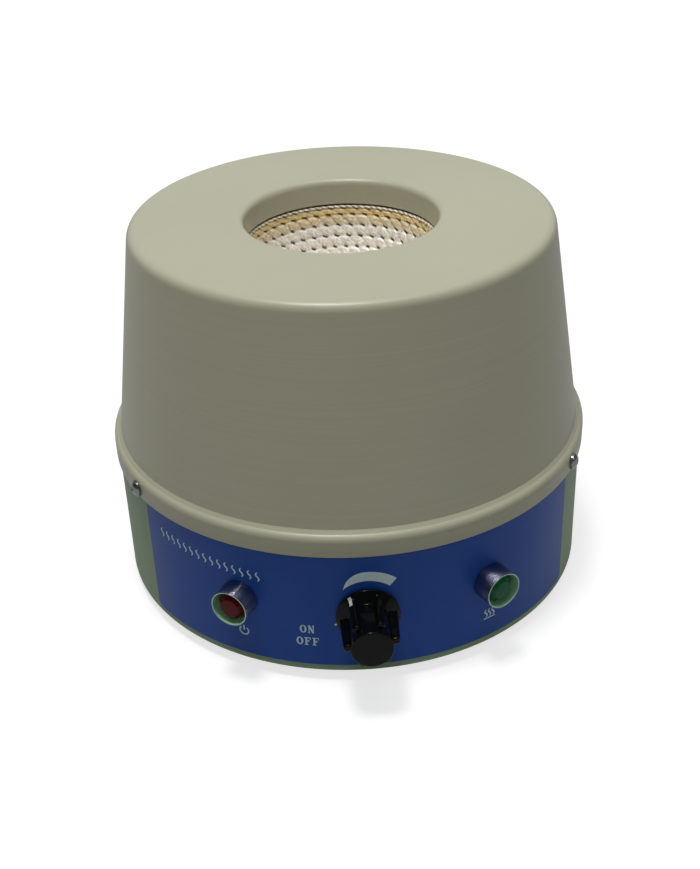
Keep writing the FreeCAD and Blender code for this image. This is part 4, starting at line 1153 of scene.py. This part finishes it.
# ---- sheet metal
@dataclass
class Spinnings:
    """Spun shell with its rolled shoulder, and the pressed corner of the pan."""

    sheet: float = 1.0
    skirt_rad: float = 115.0
    skirt_foot: float = 69.4
    ledge: tuple[tuple[float, ...], ...] = (
        (115.0, 78.6, 3.6), (112.8, 79.85, 2.0), (111.4, 81.4, 0.6))
    ledge_inside: tuple[tuple[float, ...], ...] = (
        (114.0, 77.9, 2.4), (112.3, 78.8, 1.0), (110.4, 80.9, 0.6))
    cone_top_rad: float = 97.3
    top_height: float = 179.3
    top_round: float = 5.0
    mouth_rad: float = 44.5
    mouth_round: float = 3.5
    lip_drop: float = 12.4
    pan_rad: float = 113.7
    pan_round: float = 1.2
    pan_foot: float = 5.6
    top_share: float = 0.86
    pan_lift: float = 0.02
    pan_under: float = 2.0
    pan_side: float = 2.4
    pan_inside: tuple[Pair, ...] = ((0.3, 2.4), (0.3, 1.2), (1.2, 0.3), (2.0, 0.3))
    steps: int = 360

    def shell(self) -> BMesh:
        """Skirt, rolled shoulder, cone, flat top and turned-down lip."""
        foot, inside = self.skirt_foot, self.top_height - self.sheet
        lip = self.top_height - self.lip_drop
        section = [(self.skirt_rad - self.sheet, foot), (self.skirt_rad, foot, 0.1)]
        section += list(self.ledge)
        section += [(self.cone_top_rad, self.top_height, self.top_round),
                    (self.mouth_rad, self.top_height, self.mouth_round),
                    (self.mouth_rad, lip, 0.1), (self.mouth_rad + self.sheet, lip, 0.1),
                    (self.mouth_rad + self.sheet, inside, self.mouth_round - self.sheet),
                    (self.cone_top_rad - self.top_share * self.sheet, inside, self.top_round - self.sheet)]
        section += list(reversed(self.ledge_inside))
        return lathe(rounded(section, 8), self.steps)

    def pan_corner(self) -> BMesh:
        """Smooth rolled corner that covers the one round the pan's foot."""
        rad, foot = self.pan_rad + self.pan_lift, self.pan_foot - self.pan_lift
        section = rounded([(rad - self.pan_under, foot), (rad, foot, self.pan_round),
                           (rad, foot + self.pan_side)], 8)
        section += [(rad - depth, foot + rise) for depth, rise in self.pan_inside]
        return lathe(section, self.steps)

    def build(self, shop: Workshop) -> None:
        """Spin the shell and the pan's corner."""
        shop.add("spun_shell", self.shell(), "housing", Slot.SHELL, None, ["upper_shell"], 40.0)
        shop.add("pan_corner", self.pan_corner(), "housing", Slot.PAN, None, [], 40.0)


# ---- shell screws
@dataclass
class ShellScrews:
    """Cross-recessed pan-head screws that hold the skirt to the pan."""

    seat: float = 0.05
    azimuths: tuple[float, ...] = (61.0, -61.0, 180.0)
    shank_rad: float = 2.0
    shank_long: float = 9.3
    head_rad: float = 3.9
    head_high: float = 2.8
    dome_share: float = 0.65
    cross_half: float = 2.0
    cross_wide: float = 0.75
    cross_deep: float = 1.3
    cross_taper: Triple = (0.35, 0.6, 1.0)
    cross_turn: float = 0.5

    def blank(self) -> BMesh:
        """Screw without its recess."""
        rise = self.head_high * self.dome_share
        bow = (self.head_rad ** 2 + rise ** 2) / (2 * rise)
        edge = degrees(asin(self.head_rad / bow))
        dome = arc((0.0, self.head_high - bow), bow, 90.0 - edge, 90.0, 8)
        dome[-1] = (0.0, self.head_high)
        return lathe([(0.0, -self.shank_long), (self.shank_rad - 0.4, -self.shank_long),
                      (self.shank_rad, -self.shank_long + 0.5), (self.shank_rad, 0.0),
                      (self.head_rad - 0.1, 0.0), (self.head_rad, 0.12)] + dome, 48)

    def cross(self) -> list[BMesh]:
        """Two tapered bars that are cut out of the head."""
        bars = []
        for turn in (0.0, pi / 2):
            bar = bmesh.new()
            bmesh.ops.create_cube(bar, size=1.0)
            bmesh.ops.scale(bar, verts=bar.verts, vec=(2 * self.cross_half, self.cross_wide,
                                                       2 * self.cross_deep))
            foot = [vert for vert in bar.verts if vert.co.z < 0]
            bmesh.ops.scale(bar, verts=foot, vec=self.cross_taper)
            bar.transform(Matrix.Translation((0.0, 0.0, self.head_high)))
            bar.transform(Matrix.Rotation(turn + self.cross_turn, 4, "Z"))
            bars.append(bar)
        return bars

    def build(self, shop: Workshop) -> None:
        """Cut the recess and set a screw at each place."""
        whole = self.blank()
        for tool in self.cross():
            whole = carved(whole, tool)
        low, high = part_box("shell_screws")
        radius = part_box("upper_shell")[1].x / MM + self.seat
        screws = []
        for azimuth in self.azimuths:
            screws.append(whole.copy())
            outward(screws[-1], radius, (low.z + high.z) / (2 * MM), azimuth)
        whole.free()
        shop.add("shell_screw_set", joined(screws), "housing", Slot.PLATED, SCREW_PLATE_DARKENED.material(),
                 ["shell_screws"])


# ---- studio
@dataclass
class Studio:
    """Pale floor, soft overhead light and the camera; the lamps are in metres and watts."""

    lens: float = 53.05
    orbit_centre: Triple = (0.0, 0.0, 79.5)
    distance: float = 635.6
    azimuth: float = -2.7
    elevation: float = 29.55
    aim: Triple = (0.4, 0.0, 61.3)
    roll: float = -2.1
    floor_grey: float = 0.42
    floor_reach: Pair = (0.1, 1.6)
    floor_glow: Pair = (0.72, 0.97)
    floor_glossy: float = 0.3
    room_tint: Colour = (0.97, 1.0, 0.96)
    room_glow: float = 0.10
    back_reach: Pair = (0.1, 0.8)
    back_glossy: float = 0.5
    lamps: tuple[tuple[str, Triple, Triple, float, float], ...] = (
        ("ceiling_key", (-0.14, -0.15, 1.45), (0.0, 0.0, 0.1), 0.30, 11.0),
        ("ceiling_soft", (0.1, 0.05, 1.7), (0.0, 0.0, 0.1), 1.3, 7.4),
        ("front_key", (-0.12, -1.05, 1.30), (0.0, 0.0, 0.08), 0.20, 0.9),
        ("side_soft", (1.5, -0.6, 0.7), (0.0, 0.0, 0.08), 0.9, 0.9))

    @staticmethod
    def facing(place: Vector, aim: Vector, roll: float = 0.0) -> Matrix:
        """Stand at a place and look at an aim, rolled by an angle in degrees."""
        turn = (aim - place).to_track_quat("-Z", "Y").to_matrix()
        level = turn @ Matrix.Rotation(radians(roll), 3, "Z")
        return Matrix.Translation(place) @ level.to_4x4()

    def camera(self) -> None:
        """Set the camera in front of the knob and above it."""
        turn, rise = radians(self.azimuth), radians(self.elevation)
        spoke = Vector((sin(turn) * cos(rise), -cos(turn) * cos(rise),
                        sin(rise)))
        eye = (Vector(self.orbit_centre) + spoke * self.distance) * MM
        data = bpy.data.cameras.new("camera")
        data.lens, data.sensor_width = self.lens, 36.0
        data.clip_start, data.clip_end = 0.01, 20.0
        camera = linked("camera", data)
        camera.matrix_world = self.facing(eye, Vector(self.aim) * MM, self.roll)
        bpy.context.scene.camera = camera

    def lamp(self, name: str, place: Triple, aim: Triple, size: float, power: float) -> None:
        """One soft square light."""
        data = bpy.data.lights.new(name, "AREA")
        data.size, data.energy = size, power
        linked(name, data).matrix_world = self.facing(Vector(place), Vector(aim))

    def world(self) -> None:
        """White behind the object for the camera, a dim room for the diffuse light.

        Reflections see the white only towards +Y, where the backdrop stands.
        """
        graph = Graph("room", "worlds")
        bpy.context.scene.world = graph.block
        seen, glossy = graph.rays()
        spread = graph.signal("ShaderNodeTexCoord", "Generated", {}, {})
        back = graph.signal("ShaderNodeSeparateXYZ", "Y", {}, {0: spread})
        wall = graph.ramped(back, *self.back_reach, 0.0, self.back_glossy)
        room, white = (graph.signal("ShaderNodeBackground", 0, {},
                                    {"Color": (*colour, 1.0), "Strength": strength})
                       for colour, strength in ((self.room_tint, self.room_glow),
                                                ((1.0, 1.0, 1.0), 1.0)))
        blend = graph.signal("ShaderNodeMixShader", 0, {}, {
            0: graph.math("MAXIMUM", seen, glossy * wall), 1: room, 2: white})
        graph.node("ShaderNodeOutputWorld", {}, {"Surface": blend})

    def floor(self) -> None:
        """White sweep that keeps the object's shadow."""
        mesh = bmesh.new()
        bmesh.ops.create_grid(mesh, x_segments=4, y_segments=4, size=6.0)
        floor = poured("floor", mesh)
        graph = Graph("floor_white")
        away = graph.signal("ShaderNodeVectorMath", "Value", {"operation": "LENGTH"},
                            {0: graph.place})
        seen, glossy = graph.rays()
        seen = graph.math("MAXIMUM", seen, glossy * self.floor_glossy)
        lit = graph.signal("ShaderNodeBsdfDiffuse", 0, {}, {"Color": (*[self.floor_grey] * 3, 1.0)})
        strength = seen * graph.ramped(away, *self.floor_reach, *self.floor_glow)
        glow = graph.signal("ShaderNodeEmission", 0, {}, {"Color": (1.0, 1.0, 1.0, 1.0),
                                                          "Strength": strength})
        both = graph.signal("ShaderNodeAddShader", 0, {}, {0: lit, 1: glow})
        graph.node("ShaderNodeOutputMaterial", {}, {"Surface": both})
        floor.data.materials.append(graph.block)

    def build(self) -> None:
        """Put up the camera, the floor, the room and the lamps."""
        bpy.context.scene.view_settings.view_transform = "Standard"
        self.camera()
        self.floor()
        self.world()
        for lamp in self.lamps:
            self.lamp(*lamp)


def main() -> None:
    """Dress the frame, add the pieces and light them."""
    logging.basicConfig(level=logging.INFO, format="%(name)s: %(message)s")
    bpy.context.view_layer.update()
    shop = Workshop()
    shop.dress_nodes()
    WovenBowl().build(shop)
    ControlKnob().build(shop)
    ControlPanel().build(shop)
    LampBezels().build(shop)
    ShellScrews().build(shop)
    Spinnings().build(shop)
    Studio().build()


if __name__ == "__main__":
    main()
